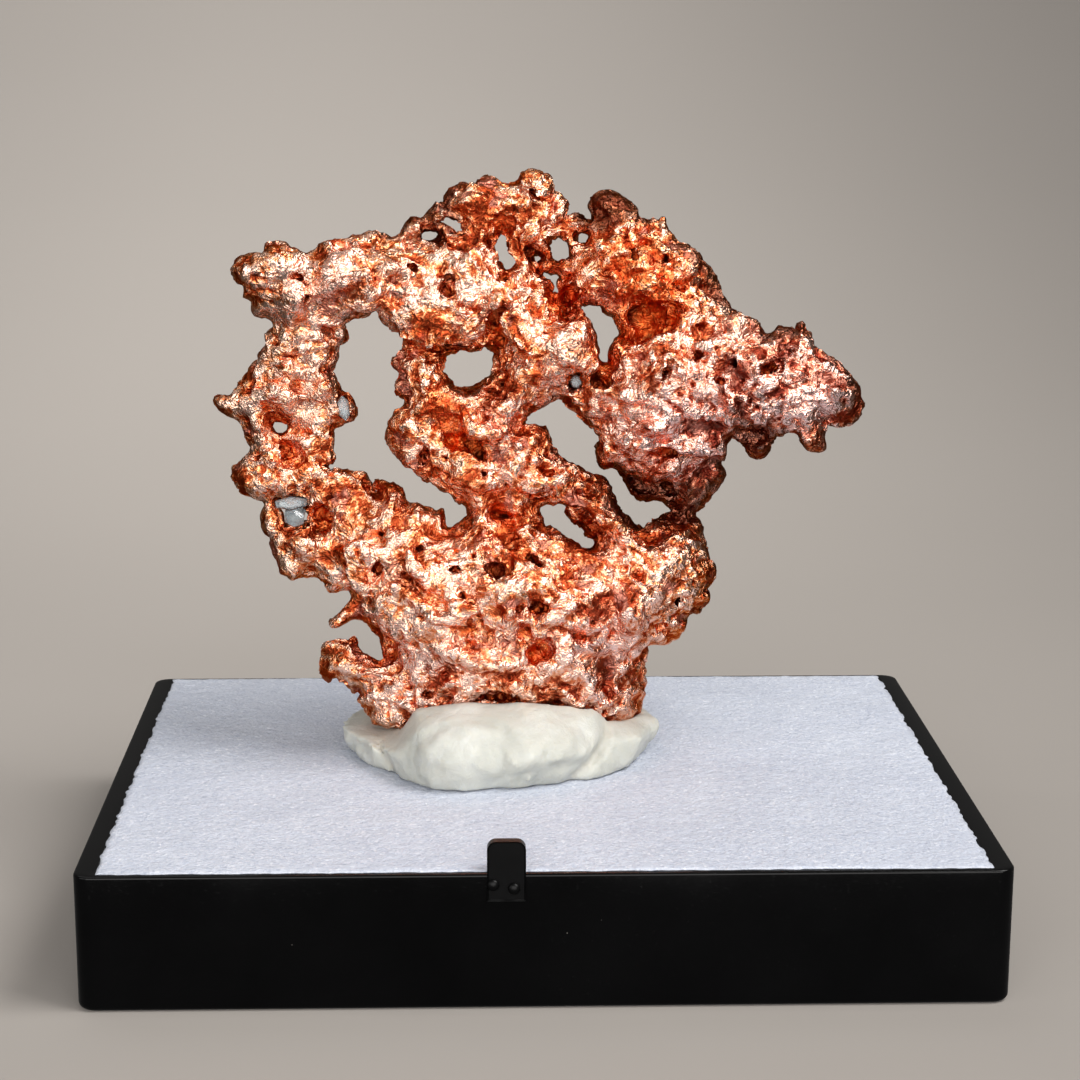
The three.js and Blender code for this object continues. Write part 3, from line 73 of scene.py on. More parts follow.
OUTLINE = [
    [
     -0.18, 70.73, 1.27, 70.42, 1.53, 70.13, 1.64, 68.79, 2.53, 68.41, 2.68, 68.12, 3.23, 67.64, 2.78, 66.58, 2.79, 66.29, 2.93, 66.15,
     3.51, 66.26, 3.99, 66.57, 4.96, 66.39, 4.68, 66.1, 5.25, 65.98, 5.43, 66.48, 4.92, 67.16, 5.29, 67.54, 5.33, 68.4, 5.63, 68.23,
     6.49, 68.59, 7.56, 68.55, 8.53, 68.14, 8.82, 67.73, 9.21, 67.57, 9.31, 67.23, 9.9, 67.18, 10.2, 66.09, 10.98, 65.83, 11.46, 66.09,
     11.76, 65.57, 11.99, 65.71, 12.14, 66.11, 12.53, 66.11, 12.81, 64.74, 13.16, 64.36, 13.24, 64.03, 13.78, 63.58, 13.64, 63.38, 14.32, 63.51,
     15.25, 62.9, 16.79, 61.19, 17.62, 59.88, 18.09, 58.81, 20.16, 56.75, 21.39, 56.12, 22.14, 55.47, 22.59, 54.86, 23.67, 55.17, 23.86, 55.46,
     24.16, 55.13, 24.84, 55.34, 25.64, 54.76, 25.77, 55.27, 25.52, 55.76, 26.1, 56, 26.43, 55.66, 26.52, 55.47, 26.42, 55.27, 26.82, 54.82,
     27.45, 53.56, 27.74, 53.51, 29.45, 52.41, 30.49, 51.21, 30.69, 50.48, 31.8, 49.65, 32.23, 48.6, 32.57, 48.22, 32.59, 47.82, 31.94, 46.42,
     31.61, 46.1, 30.63, 45.66, 29.93, 45.71, 29.63, 45.87, 29.33, 45.81, 28.88, 46.23, 28.82, 46.54, 28.27, 46.43, 28.59, 45.73, 28.75, 43.42,
     28.71, 43.19, 28.32, 42.86, 27.82, 42.9, 27.02, 43.32, 26.55, 44.03, 26.11, 44.34, 26.09, 44.74, 25.68, 44.96, 24.4, 44.67, 23.9, 44.74,
     23.82, 44.34, 23.61, 44.24, 23.59, 43.94, 22.97, 42.74, 22.07, 42.23, 21.83, 42.34, 21.67, 42.65, 21.17, 42.73, 20.76, 43.38, 19.65, 44.38,
     19.35, 44.45, 18.96, 43.98, 19.22, 43.05, 19.11, 42.65, 18.7, 42.21, 18.4, 42.35, 18.2, 41.95, 18.79, 41.04, 18.74, 40.63, 17.28, 38.18,
     15.75, 36.8, 16.53, 36.19, 16.85, 35.68, 16.85, 35.27, 16.52, 34.97, 16.4, 34.56, 16.77, 34.15, 16.93, 33.23, 17.39, 33.03, 17.28, 32.21,
     17.8, 31.9, 18.12, 31.49, 18.25, 30.98, 18.05, 30.06, 17.17, 29.03, 17.68, 28.62, 17.68, 28, 16.4, 26.77, 15.47, 26.58, 15.4, 26.36,
     15.07, 26.16, 15.23, 25.43, 15, 24.7, 14.69, 24.62, 14.24, 24.09, 13.77, 23.89, 13.2, 23.35, 11.99, 23.4, 11.3, 22.8, 10.87, 21.52,
     11.07, 20.79, 11.08, 19.95, 10.99, 18.49, 10.7, 17.66, 10.69, 16.4, 7.29, 13.05, 5.34, 12.17, -9.85, 12.28, -12.57, 12.95, -14.48, 13.86,
     -15.78, 14.04, -16.08, 14.49, -16.68, 14.55, -16.83, 14.79, -16.82, 15.42, -16.64, 16.25, -16.86, 16.81, -17.26, 17.06, -17.88, 17.93, -17.62, 18.45,
     -17.64, 18.7, -17.84, 18.82, -18.15, 18.35, -18.24, 18.91, -19.06, 19.5, -19.11, 19.81, -19.33, 19.99, -20.03, 20.18, -20.63, 19.67, -20.85, 19.61,
     -21.05, 19.82, -21.64, 20.97, -21.66, 21.38, -21.44, 22.52, -21.52, 23.45, -21.07, 23.99, -18.77, 24.11, -18.07, 24.51, -17.85, 24.26, -17.92, 23.85,
     -17.81, 23.43, -16.99, 22.47, -15.6, 21.95, -15.1, 22.16, -15.03, 22.38, -15.71, 23.53, -15.85, 24.15, -16.39, 24.56, -16.55, 25.18, -17.55, 26.03,
     -18.25, 25.93, -19.56, 25.15, -20.06, 25.07, -20.58, 25.41, -20.69, 25.82, -20.45, 26.33, -19.12, 27.46, -18.72, 28.21, -18.27, 28.58, -18.38, 28.99,
     -19.21, 29.04, -19.7, 28.92, -20.01, 28.67, -20.4, 28.77, -20.7, 28.96, -21.01, 29.51, -21.08, 30.06, -22.26, 30.77, -23.15, 30.55, -23.46, 30.13,
     -23.96, 29.91, -24.45, 30.02, -24.8, 30.45, -25.53, 30.83, -25.78, 32.19, -26.48, 34.02, -26.47, 34.22, -26.25, 34.42, -26.97, 34.83, -27.17, 35.24,
     -27.14, 36.55, -26.65, 38.16, -26.96, 38.39, -27.65, 38.44, -28.13, 38.79, -28.72, 38.85, -29.21, 39.17, -29.27, 39.48, -29.99, 40.48, -30, 41.09,
     -29.76, 41.79, -29.33, 42.29, -28.44, 42.71, -28, 43.08, -27.98, 43.68, -28.7, 45.37, -28.76, 46.1, -30.02, 46.69, -30.41, 46.75, -31.08, 47.22,
     -31.31, 47.56, -31.36, 48.65, -30.45, 49.04, -29.97, 48.73, -29.24, 49.54, -28.91, 50.23, -28.47, 50.39, -28.19, 51.31, -26.94, 52.69, -26.67, 53.86,
     -26.07, 55.04, -25.72, 55.43, -25.69, 55.82, -25.73, 56.15, -26.31, 56.53, -26.98, 56.55, -27.37, 56.41, -27.4, 56.99, -27.56, 57.19, -27.51, 58.07,
     -27.72, 58.28, -28.11, 58.22, -28.32, 58.36, -28.46, 58.94, -29.15, 60.21, -29.29, 60.79, -29.57, 60.98, -29.54, 61.27, -29.13, 61.95, -28.41, 62.36,
     -26.28, 62.5, -25.99, 63.4, -25.68, 63.58, -25.3, 63.63, -24.63, 63.45, -24.24, 63.53, -23.86, 63.09, -23.28, 63.22, -22.13, 62.58, -21.32, 63.01,
     -20.31, 63.97, -19.6, 64.38, -19.11, 64.4, -18.54, 64.14, -18.15, 64.12, -17.67, 64.38, -16.99, 64.39, -16.41, 64.69, -15.44, 64.79, -14.1, 64.34,
     -13.19, 64.94, -13.03, 65.23, -12.74, 65.32, -11.96, 66.21, -11.67, 66.35, -11.38, 66.17, -10.77, 66.09, -9.54, 67.68, -9.25, 67.61, -9.04, 67.73,
     -8.88, 68.3, -8.39, 68.88, -7.6, 69.29, -6.64, 69.59, -5.96, 69.43, -5.72, 69.84, -5.38, 70.07, -4.42, 70.05, -3.75, 69.85, -3.26, 69.47,
     -2.59, 69.77, -2.11, 69.81, -0.95, 70.53,
    ],
    [
     -15.72, 57.3, -16.21, 56.57, -16.99, 56.25, -18.16, 56.15, -18.68, 55.62, -18.66, 55.32, -18.25, 55.03, -18.26, 54.24, -18.48, 54.03, -18.9, 53.95,
     -19.2, 53.46, -19.25, 52.48, -19.8, 51.4, -19.83, 51, -19.63, 50.61, -18.03, 49.22, -17.46, 47.73, -17.45, 47.24, -17.67, 46.64, -17.99, 46.32,
     -19.08, 45.92, -19.66, 45.87, -19.89, 45.65, -19.84, 44.36, -20.02, 43.16, -19.76, 42.46, -20.01, 42.11, -20.48, 41.86, -20.44, 41.56, -20.22, 41.34,
     -19.82, 41.64, -19.04, 41.48, -18.55, 41.13, -17.57, 40.9, -16.78, 41.27, -16.56, 41.04, -16.51, 40.54, -16.18, 39.94, -16.23, 39.44, -15.72, 38.91,
     -15.52, 38.93, -15.43, 39.23, -15.73, 39.74, -15.79, 40.24, -15.41, 40.39, -14.62, 40.28, -13.83, 40.06, -12.91, 39.43, -12.71, 38.11, -12.57, 37.89,
     -12.08, 37.86, -11.68, 38.03, -10.79, 37.44, -10.3, 37.62, -9.81, 37.07, -9.56, 37.19, -9.34, 37.6, -9.11, 37.6, -8.99, 37.29, -9.07, 35.78,
     -8.87, 35.37, -8.63, 35.25, -6.59, 36.58, -6.52, 36.78, -6.82, 37.69, -7.13, 38.02, -7.76, 38.2, -8.41, 38.93, -9.4, 39.3, -9.69, 39.77,
     -10.81, 40.42, -11.17, 40.85, -11.76, 41.01, -12.25, 41.46, -12.74, 41.51, -13.17, 41.74, -13.45, 42.24, -13.4, 42.84, -14.39, 43.71, -14.51, 44.04,
     -14.52, 45.14, -14.29, 46.23, -13.67, 47.18, -12.8, 47.62, -12.85, 48.32, -13.4, 48.62, -13.78, 49.01, -13.79, 49.51, -13.5, 50.59, -14.07, 51.68,
     -14.04, 52.37, -13.02, 53.35, -12.88, 53.75, -13.22, 54.47, -15.29, 56.49, -15.46, 57.28,
    ],
    [
     2.13, 48.51, 1.45, 47.77, 0.37, 47.52, -0.61, 46.95, -1.07, 46.1, -1.03, 45.7, -0.71, 45.66, -0.22, 45.89, 0.97, 45.64, 1.23, 45.3,
     1.85, 43.4, 2.85, 42.64, 3.25, 42.04, 3.84, 42.05, 4.44, 41.56, 4.94, 41.49, 5.53, 41.05, 6.53, 40.7, 7.16, 40.27, 7.55, 39.66,
     7.52, 38.75, 8.16, 38.04, 8.44, 37.3, 8.99, 36.93, 9.45, 36.18, 10.15, 35.48, 10.85, 35.47, 11.73, 36.44, 12.82, 36.84, 13.81, 37.01,
     12.61, 38.05, 10.82, 37.99, 10.12, 38.21, 9.42, 38.91, 9.03, 39.96, 7.9, 41.48, 7.41, 41.52, 7.01, 41.38, 6.47, 41.68, 6.19, 41.98,
     5.96, 43.69, 6.34, 44.39, 6.22, 45.19, 5.89, 45.51, 4.67, 45.99, 4.01, 47.12, 3.38, 47.39, 2.86, 47.99, 2.43, 48.25, 2.33, 48.49,
    ],
    [
     -5.22, 53.47, -6.2, 53.1, -6.98, 53.27, -8.55, 52.67, -8.84, 52.3, -8.97, 51.18, -8.24, 50.29, -8.19, 49.79, -8.01, 49.6, -7.29, 49.45,
     -6.89, 49.64, -6.01, 49.67, -5.13, 50.31, -4.43, 50.58, -4.03, 51.37, -3.93, 52.75, -4.05, 53.05, -4.64, 53.46,
    ],
    [
     1.88, 37.99, 0.79, 37.79, 0.37, 37.56, 0.37, 37.16, 0.82, 36.65, 0.89, 35.64, 1.4, 35.43, 2.19, 35.37, 2.38, 35.02, 2.59, 34.99,
     3.39, 34.28, 4.69, 33.46, 5.39, 33.61, 5.75, 33.99, 5.69, 34.2, 5.25, 34.4, 4.39, 35.62, 3.68, 36.02, 3.37, 36.44, 3.06, 37.15,
     3.12, 37.66, 2.98, 37.96,
    ],
    [
     4.34, 57.66, 4.28, 57.55, 5.12, 56.91, 5.54, 56.37, 5.6, 55.49, 6.01, 54.7, 5.98, 54.02, 6.18, 53.23, 6.11, 52.44, 6.43, 52.12,
     7.02, 52.13, 7.28, 53.32, 7.79, 54.34, 8.47, 54.8, 8.39, 55.09, 7.75, 55.88, 7.47, 56.59, 6.79, 56.64, 6.39, 57.28, 5.32, 57.33,
     4.63, 57.67,
    ],
    [
     -25.19, 38.28, -25.41, 38.06, -25.42, 37.65, -25.14, 37.25, -24.68, 37.05, -24.86, 36.44, -24.48, 35.93, -23.06, 35.88, -22.44, 36.23, -22.32, 36.53,
     -22.46, 36.74, -22.41, 37.14, -22.84, 37.41, -23, 37.95, -24.41, 37.91,
    ],
    [
     2.07, 64.29, 1.48, 64, 1.34, 63.49, 1.66, 62.32, 1.88, 62.09, 3.14, 62.3, 3.38, 62.71, 3.16, 63.49, 2.55, 64.27,
    ],
    [
     -3.65, 64.86, -3.79, 64.65, -3.71, 64.07, -3.8, 63.39, -3.51, 62.62, -3.58, 61.94, -3.36, 61.72, -2.68, 61.46, -2.08, 61.94, -2.71, 63.1,
     -2.95, 64.55, -3.17, 64.85,
    ],
    [
     -9.16, 66.02, -9.5, 65.9, -9.4, 65.71, -8.39, 65.16, -7.62, 64.51, -6.84, 64.55, -6.92, 65.13, -7.52, 65.92, -8.77, 66.09,
    ],
    [
     0.91, 60.8, 0.85, 60.67, 1.11, 60.25, 1.62, 59.99, 1.64, 58.63, 1.8, 58.57, 2.01, 59.21, 1.97, 59.89, 2.56, 60.28, 1.98, 60.86,
    ],
    [
     4.29, 64.77, 3.98, 64.45, 3.98, 63.97, 4.3, 63.56, 4.79, 63.56, 5.2, 63.87, 5.19, 64.36, 4.88, 64.77,
    ],
    [
     -10.61, 64.86, -11.16, 64.26, -10.81, 63.86, -10.43, 63.96, -10.23, 64.18, -9.56, 64.14, -9.11, 64.46, -9.26, 64.67,
    ],
    [
     -25.63, 46.42, -25.69, 46.26, -25.25, 45.36, -24.47, 45.44, -24.05, 45.66, -24.01, 45.86, -24.36, 46.09,
    ],
    [
     -0.26, 62.52, 0.06, 61.74, -0.03, 61.55, 0.15, 61.26, 0.11, 60.87, 0.33, 60.74, 0.27, 61.35, 0.64, 62.23, 0.23, 62.61,
    ],
    [
     -3.47, 36.88, -3.96, 36.77, -3.86, 36.66, -3.47, 36.72, -3.27, 36.43, -2.59, 36.56,
    ],
]
BODY = [
    (-25.74, 60.59, -0.8, 2.9), (-19.96, 59.62, -1.3, 3.5), (-13.18, 58.15, -1.3, 3.6),
    (-7.36, 56.19, -1, 3.6), (-1.51, 56.19, -1, 3.9), (-23.92, 54.25, 0.9, 2.5),
    (-24.52, 48.34, 1.1, 2.6), (-28.91, 48.15, 1, 2), (-23.13, 43.37, 0.8, 2.8),
    (-19.63, 48.13, 0.6, 2.2), (-23.22, 38.35, 0.2, 3), (-19.34, 33.79, -0.5, 3.8),
    (-13.42, 30.71, -1.5, 4.8), (-8.46, 28.12, -2, 6.2), (-12.16, 64.46, 1.4, 2.5),
    (-9.25, 67.06, 2.2, 2.5), (-4.42, 67.83, 2.2, 2.8), (0.4, 69.55, 2.2, 2.8),
    (6.22, 66.39, 1.6, 3), (11.08, 65.71, 1.2, 3.4), (-10.26, 60.1, -0.5, 3.8),
    (-4.43, 59.12, -0.4, 4.1), (1.42, 54.22, -1, 4.6), (-3.46, 63.97, 1, 3.2),
    (2.38, 59.11, 0, 4.2), (0.42, 63.97, 1.4, 3.2), (-9.34, 51.08, -1.4, 3.6),
    (-6.41, 48.3, -1.9, 3.6), (-2.97, 50.77, -1.4, 3.8), (-13.28, 46.83, -2, 3.5),
    (-9.37, 44.33, -2, 3.9), (-6.43, 41.32, -1.6, 3.8), (0.49, 40.29, -2, 3.8),
    (6.46, 36.23, -2, 4), (11.49, 32.13, -1.5, 5.2), (-0.51, 45.3, -1.6, 4.2),
    (10.16, 61.06, 0, 5.6), (15.06, 59.59, 0.8, 5.2), (6.25, 63, 1, 4.2),
    (16.11, 55.18, -1, 5.6), (8.33, 48.27, -2, 5), (14.25, 48.26, -3.8, 5.6),
    (20.17, 48.25, -4.3, 5), (11.34, 44.27, -3, 5), (24.05, 51.22, -4.5, 4.4),
    (30.04, 48.73, -5.4, 3.4), (26.17, 45.24, -4.8, 2.8), (21.24, 44.25, -3.2, 3.8),
    (13.37, 40.25, 2.2, 4.2), (16.38, 38.22, 3.4, 3.8), (10.41, 39.25, 1.6, 4),
    (15.48, 32.12, -1, 6), (15.58, 25.95, -0.5, 5.6), (13.61, 23.37, 0, 5),
    (-11.47, 26.08, -2.5, 7), (-3.47, 28.1, -2, 8), (2.53, 26.01, -2, 8),
    (8.53, 28.04, -1.5, 7.6), (-8.5, 18.81, -1, 7.5), (1.56, 18.75, -1, 8.2),
    (8.62, 18.71, 0, 7.2), (-19.94, 25.92, -1, 1.7), (-19.53, 19.92, -2, 2.8),
    (-17.57, 16.57, -2.5, 3.2), (-13.56, 14.66, 0, 6.5), (-3.48, 14.07, 0, 8),
    (6.64, 14.01, 0, 7),
]
RELIEF = [
    (1, -25.73, -1.13, 61.27, 2.98, 3, 2.58, 0), (1, -17.24, -3, 59.91, 4.57, 2.2, 2.38, 0.09), (1, -22.88, -2.18, 58.16, 1.79, 2, 2.58, -0.17),
    (2, -9.26, 0.38, 65.42, -4.14, -1.05, 62.81, 0.89), (1, -1.02, -4.35, 54.22, 1.39, 2, 1.79, 0), (2, -0.52, -6.08, 50.67, 2.61, -5.95, 50.86, 0.5),
    (1, 3.39, -4.15, 52.44, 2.48, 3, 3.57, 0), (1, 11.82, -6.35, 45.47, 1.99, 2.2, 1.39, 0.35), (2, 10.36, -5.89, 43.58, 16.79, -5.38, 43.56, 0.6),
    (1, 17.47, -5.17, 44.56, 0.89, 2, 0.89, 0), (1, 19.2, -7.81, 47.45, 1.19, 2, 1.09, 0), (1, 20.23, -5.34, 54.98, 1.99, 2, 2.78, -0.35),
    (1, 8.49, -4.72, 52.24, 0.99, 2, 1.79, 0), (1, 12.86, -3.59, 41.26, 1.29, 3, 1.29, 0), (1, 29.85, -5.79, 48.73, 2.38, 3, 2.38, 0),
    (1, 27.39, -5.31, 44.23, 1.39, 2, 1.59, 0), (2, 25.91, -4.73, 55.96, 27.44, -5.08, 53.69, 0.7), (1, 24.25, -3.8, 55.47, 0.89, 1.5, 0.89, 0),
    (1, 7.18, 1.11, 68.02, 1.79, 2.5, 1.59, 0), (1, 11.76, 1.28, 65.71, 0.99, 1.5, 0.99, 0), (1, 14.54, 0.37, 61.83, 4.17, 4, 3.38, -0.61),
    (1, -2.67, -8.97, 28.82, 1.99, 2.2, 2.28, 0), (1, -12.96, -5.81, 26.4, 3.38, 2.5, 2.38, 0), (2, -13.44, -7.8, 28.66, -5.48, -9.65, 24.51, 0.5),
    (1, 9.05, -6.04, 26.29, 1.99, 3, 3.18, 0), (1, -11.23, -7.32, 31.11, 0.89, 1.2, 0.79, 0), (2, -14.25, -1.31, 48.52, -14.87, -1.31, 45.14, 0.79),
    (2, -14.87, -1.41, 45.14, -11.55, -3.77, 41.53, 0.79), (2, -6.43, -5.19, 40.31, 2.47, -4.91, 39.68, 0.89), (2, 2.47, -4.71, 39.68, 11.49, -5.96, 31.93, 1.09),
    (2, -22.8, -2.7, 33.8, -13.41, -5.85, 32.24, 1.39), (1, -5.39, 0.28, 67.34, 2.58, 2, 1.39, -0.17), (1, 0.4, 0.83, 69.27, 1.99, 2, 1.79, 0),
    (1, 2.35, 1.2, 66.67, 1.59, 2, 1.19, 0), (2, -13.12, 0.76, 65.32, -11.18, 1.18, 66.77, 0.5), (2, -11.18, 1.08, 66.77, -8.37, 1.44, 68.97, 0.5),
    (2, -8.37, 1.64, 68.97, -5.38, 0.19, 69.55, 0.5), (2, -12.61, -7.1, 32.23, -6.67, -9.28, 26.26, 0.7), (2, -5.66, -9.63, 29.65, -1.48, -10.12, 30.14, 0.6),
    (2, -19.86, -4.26, 32.26, -16.22, -5.35, 29.19, 0.7), (2, 2.5, -4.98, 33.7, 6.5, -6.78, 31.13, 0.7), (2, -9.49, -8.44, 22.46, -3.47, -8.86, 21.08, 0.79),
    (2, 6.25, -2.38, 63, 10.12, -2.7, 64.36, 0.7), (2, 10.12, -2.7, 64.36, 14.44, -3.11, 61.83, 0.6), (2, 8.23, -4.08, 58.62, 11.35, -5.08, 59.5, 0.6),
    (2, 14.44, -3.11, 61.83, 16.09, -5.72, 56.36, 0.7), (2, 7.5, -1.9, 53.72, 8.52, -7.41, 49.07, 0.7), (2, 11.72, -7.06, 53.02, 15.19, -8.31, 51.04, 0.7),
    (2, 10.29, -7.82, 49.76, 13.03, -8.28, 51.04, 0.6), (2, -6.39, -4.52, 55.21, -3.46, -4.53, 58.14, 0.6), (2, -2.97, -4.76, 56.19, 0.45, -5.31, 53.04, 0.79),
    (2, 2.4, -4.89, 55.2, 5.34, -3.46, 53.72, 0.7), (2, -13.21, -3.1, 55.22, -9.31, -4.71, 56, 0.6), (2, -22.88, -3.28, 58.16, -18.47, -3.84, 61.85, 0.79),
    (2, -17.8, -3.82, 61.85, -13.96, -3.8, 58.15, 0.7), (2, -26.64, 0.74, 54.26, -23.98, -1.47, 51.11, 0.7), (2, -27.93, -1.14, 48.35, -20.11, -1.55, 49.12, 0.7),
    (2, -21.4, -1.66, 41.36, -23.25, 0.04, 36.33, 0.6), (2, 24.12, -8.3, 48.44, 30.21, -7.12, 50.02, 0.79), (2, 16.14, -7.28, 53.21, 22.04, -7.69, 53.01, 0.7),
    (2, 20.61, -8.81, 51.03, 23.54, -8.64, 52.21, 0.6), (-1, -22.95, -3.39, 60.1, 0.6, 1.12, 0.6, 0), (-1, -11.51, -2.81, 61.07, 0.79, 1.5, 0.7, 0),
    (-1, -8.12, -3.55, 59.61, 0.6, 1.12, 0.6, 0), (-1, -2.49, -2.58, 59.99, 0.6, 1.05, 0.6, 0), (-1, -24.78, -3.37, 60.4, 0.4, 0.75, 0.4, 0),
    (-1, -23.92, -1.37, 43.17, 1.09, 1.5, 0.99, 0), (-1, -22.62, -1.27, 44.96, 0.5, 0.9, 0.5, 0), (-1, -20.81, -2.06, 54.54, 0.6, 0.98, 0.6, 0),
    (-1, -19.13, -2.48, 63.49, 1.39, 1.2, 0.89, 0), (-1, -12.07, -0.83, 63.97, 0.79, 1.2, 0.7, 0), (-2, -11.27, -3.14, 53.74, -6.39, -2.31, 53.93, 0.7),
    (-2, -6.39, -2.31, 53.93, -3.46, -3.49, 56.19, 0.7), (-1, -3.66, -3.17, 53.93, 0.6, 1.12, 0.6, 0), (-1, -6.81, -4.87, 44.02, 2.88, 1.8, 1.09, -0.79),
    (-1, -8.67, -5.01, 46.22, 1.49, 1.27, 0.89, -0.26), (-1, -11.35, -4.19, 42.53, 0.5, 1.5, 1.29, 0.21), (-1, -5.44, -5.07, 40.91, 0.4, 1.2, 0.4, 0),
    (2, -12.89, -4.01, 47.03, -9.55, -5.82, 47.42, 0.6), (2, -7.49, -5.72, 47.31, -6.42, -6.17, 45.22, 0.6), (2, -6.42, -6.17, 45.22, -3.47, -6.03, 44.51, 0.6),
    (1, -13.1, -3.38, 45.14, 1.49, 2.2, 1.99, 0), (-1, 0.02, -0.48, 68.79, 0.4, 0.75, 0.4, 0), (-1, -4.72, -0.63, 63.97, 0.89, 1.5, 0.79, 0),
    (-1, 3.07, -2.14, 58.14, 1.19, 2.62, 2.58, -0.09), (-1, 10.97, -4.26, 58.13, 2.58, 1.35, 1.79, 0), (-1, 13.3, -4.21, 59.59, 1.39, 1.05, 0.89, 0),
    (-1, 8.95, -1.98, 64.74, 0.99, 0.9, 0.7, 0), (-1, 1.61, -3.9, 56.38, 0.5, 0.9, 0.5, 0), (-1, 9.47, -3.36, 62.13, 0.6, 0.98, 0.6, 0),
    (-1, 11.19, -3.93, 56.37, 2.98, 2.7, 2.38, 0), (-1, 10.52, -3.67, 54.99, 1.29, 3.15, 1.29, 0), (-1, 5.51, 0.07, 57.35, 0.79, 1.65, 0.99, 0),
    (-1, 13.03, -7.66, 50.74, 0.7, 1.2, 0.6, 0), (-1, 6.76, -6.06, 48.08, 0.7, 1.12, 0.6, 0), (-1, 6.15, -5.08, 50.46, 0.6, 1.05, 0.6, 0),
    (-1, 22.29, -8.02, 50.73, 1.29, 1.65, 1.09, 0), (-1, 24.5, -7.64, 53.2, 0.89, 0.98, 0.6, 0), (-1, 18.17, -8.15, 49.45, 0.79, 1.2, 0.7, 0),
    (-1, 21.22, -6.01, 45.05, 1.99, 2.1, 1.39, 0), (-2, 10.4, -1.05, 39.85, 16.36, -0.18, 39.63, 0.99), (-1, -0.38, -7.32, 32.59, 0.7, 1.2, 0.6, 0),
    (-1, -15.69, -5.17, 32.45, 0.6, 1.05, 0.6, 0), (-1, -7.45, -7.51, 31.4, 0.7, 1.12, 0.6, 0), (-1, -4.66, -8.48, 31.49, 0.6, 0.98, 0.5, 0),
    (-1, 0.33, -9.44, 27.16, 0.6, 1.05, 0.6, 0), (-1, 2.73, -9.27, 26.94, 0.6, 0.98, 0.6, 0), (-1, -0.97, -9.47, 24.79, 0.4, 0.75, 0.4, 0),
    (-1, 4.35, -8.91, 24.14, 0.6, 0.98, 0.6, 0), (-1, 0.64, -8.91, 22.61, 0.89, 1.5, 0.79, 0), (-1, -1.47, -9.45, 27.58, 0.4, 0.9, 0.5, 0),
    (-1, -21.47, -1.48, 36.53, 1.09, 1.95, 0.7, 0), (-1, -3.47, -7.27, 17.53, 1.99, 1.8, 0.79, 0), (-1, -10.01, -7.4, 18.41, 1.19, 1.05, 0.5, 0),
    (-1, 14.14, -4.19, 28.02, 0.89, 2.25, 0.89, 0), (-1, 15.6, 0.09, 24.91, 0.7, 1.2, 0.6, 0), (-1, 12.07, -4.65, 25.45, 0.6, 1.05, 0.6, 0),
    (-2, -14.98, -4.26, 24.24, -11.48, -7.66, 24.02, 0.25),
]
CRYSTALS = {
  "calcite_lower_left": [
    [-24.05, -0.6, 38.05, 1.75, 1.15, 0.62, 0.06, 0.15],
    [-23.75, -0.9, 36.75, 1.10, 1.05, 0.85, -0.12, -0.2],
  ],
  "calcite_left_arm": [[-18.75, -1.7, 47.5, 0.60, 0.85, 1.15, 0.15, 0.2]],
  "calcite_centre": [[3.99, -2.6, 50.1, 0.62, 0.8, 0.66, 0.35, 0.15]],
}

# ------------------------------------------------------------------ noise and fields
def smax(a, b, k):
    h = np.clip(0.5 + 0.5 * (a - b) / k, 0, 1)
    return b + (a - b) * h + k * h * (1 - h)

def smin(a, b, k):
    return -smax(-a, -b, k)

def smooth(a, b, x):
    t = np.clip((x - a) / (b - a), 0, 1)
    return t * t * (3 - 2 * t)

def lattice(i, j, k):
    s = np.sin(i * 12.9898 + j * 78.233 + k * 37.719) * 43758.5453
    return s - np.floor(s)

def noise_grid(ax, ay, az):
    """value noise on the box grid of three coordinate lists, -1..1"""
    def split(a):
        i = np.floor(a); u = a - i
        return i.astype(int), u * u * (3 - 2 * u)
    (i, u), (j, v), (k, w) = split(ax), split(ay), split(az)
    L = lattice(np.arange(i.min(), i.max() + 2)[:, None, None].astype(float), np.arange(j.min(), j.max() + 2)[None, :, None].astype(float), np.arange(k.min(), k.max() + 2)[None, None, :].astype(float))
    i, j, k = i - i.min(), j - j.min(), k - k.min()
    A = L[i] * (1 - u)[:, None, None] + L[i + 1] * u[:, None, None]
    A = A[:, j] * (1 - v)[None, :, None] + A[:, j + 1] * v[None, :, None]
    A = A[:, :, k] * (1 - w) + A[:, :, k + 1] * w
    return (A * 2 - 1).astype(np.float32)

def noise(P, size, seed=0.0):
    """value noise at points, -1..1"""
    Q = P / size + np.array([seed * 1.37, seed * 2.11, seed * 0.73])
    I = np.floor(Q); U = Q - I; U = U * U * (3 - 2 * U)
    out = 0
    for a in (0, 1):
        for b in (0, 1):
            for c in (0, 1):
                w = (U[:, 0] if a else 1 - U[:, 0]) * (U[:, 1] if b else 1 - U[:, 1]) * (U[:, 2] if c else 1 - U[:, 2])
                out = out + w * lattice(I[:, 0] + a, I[:, 1] + b, I[:, 2] + c)
    return out * 2 - 1

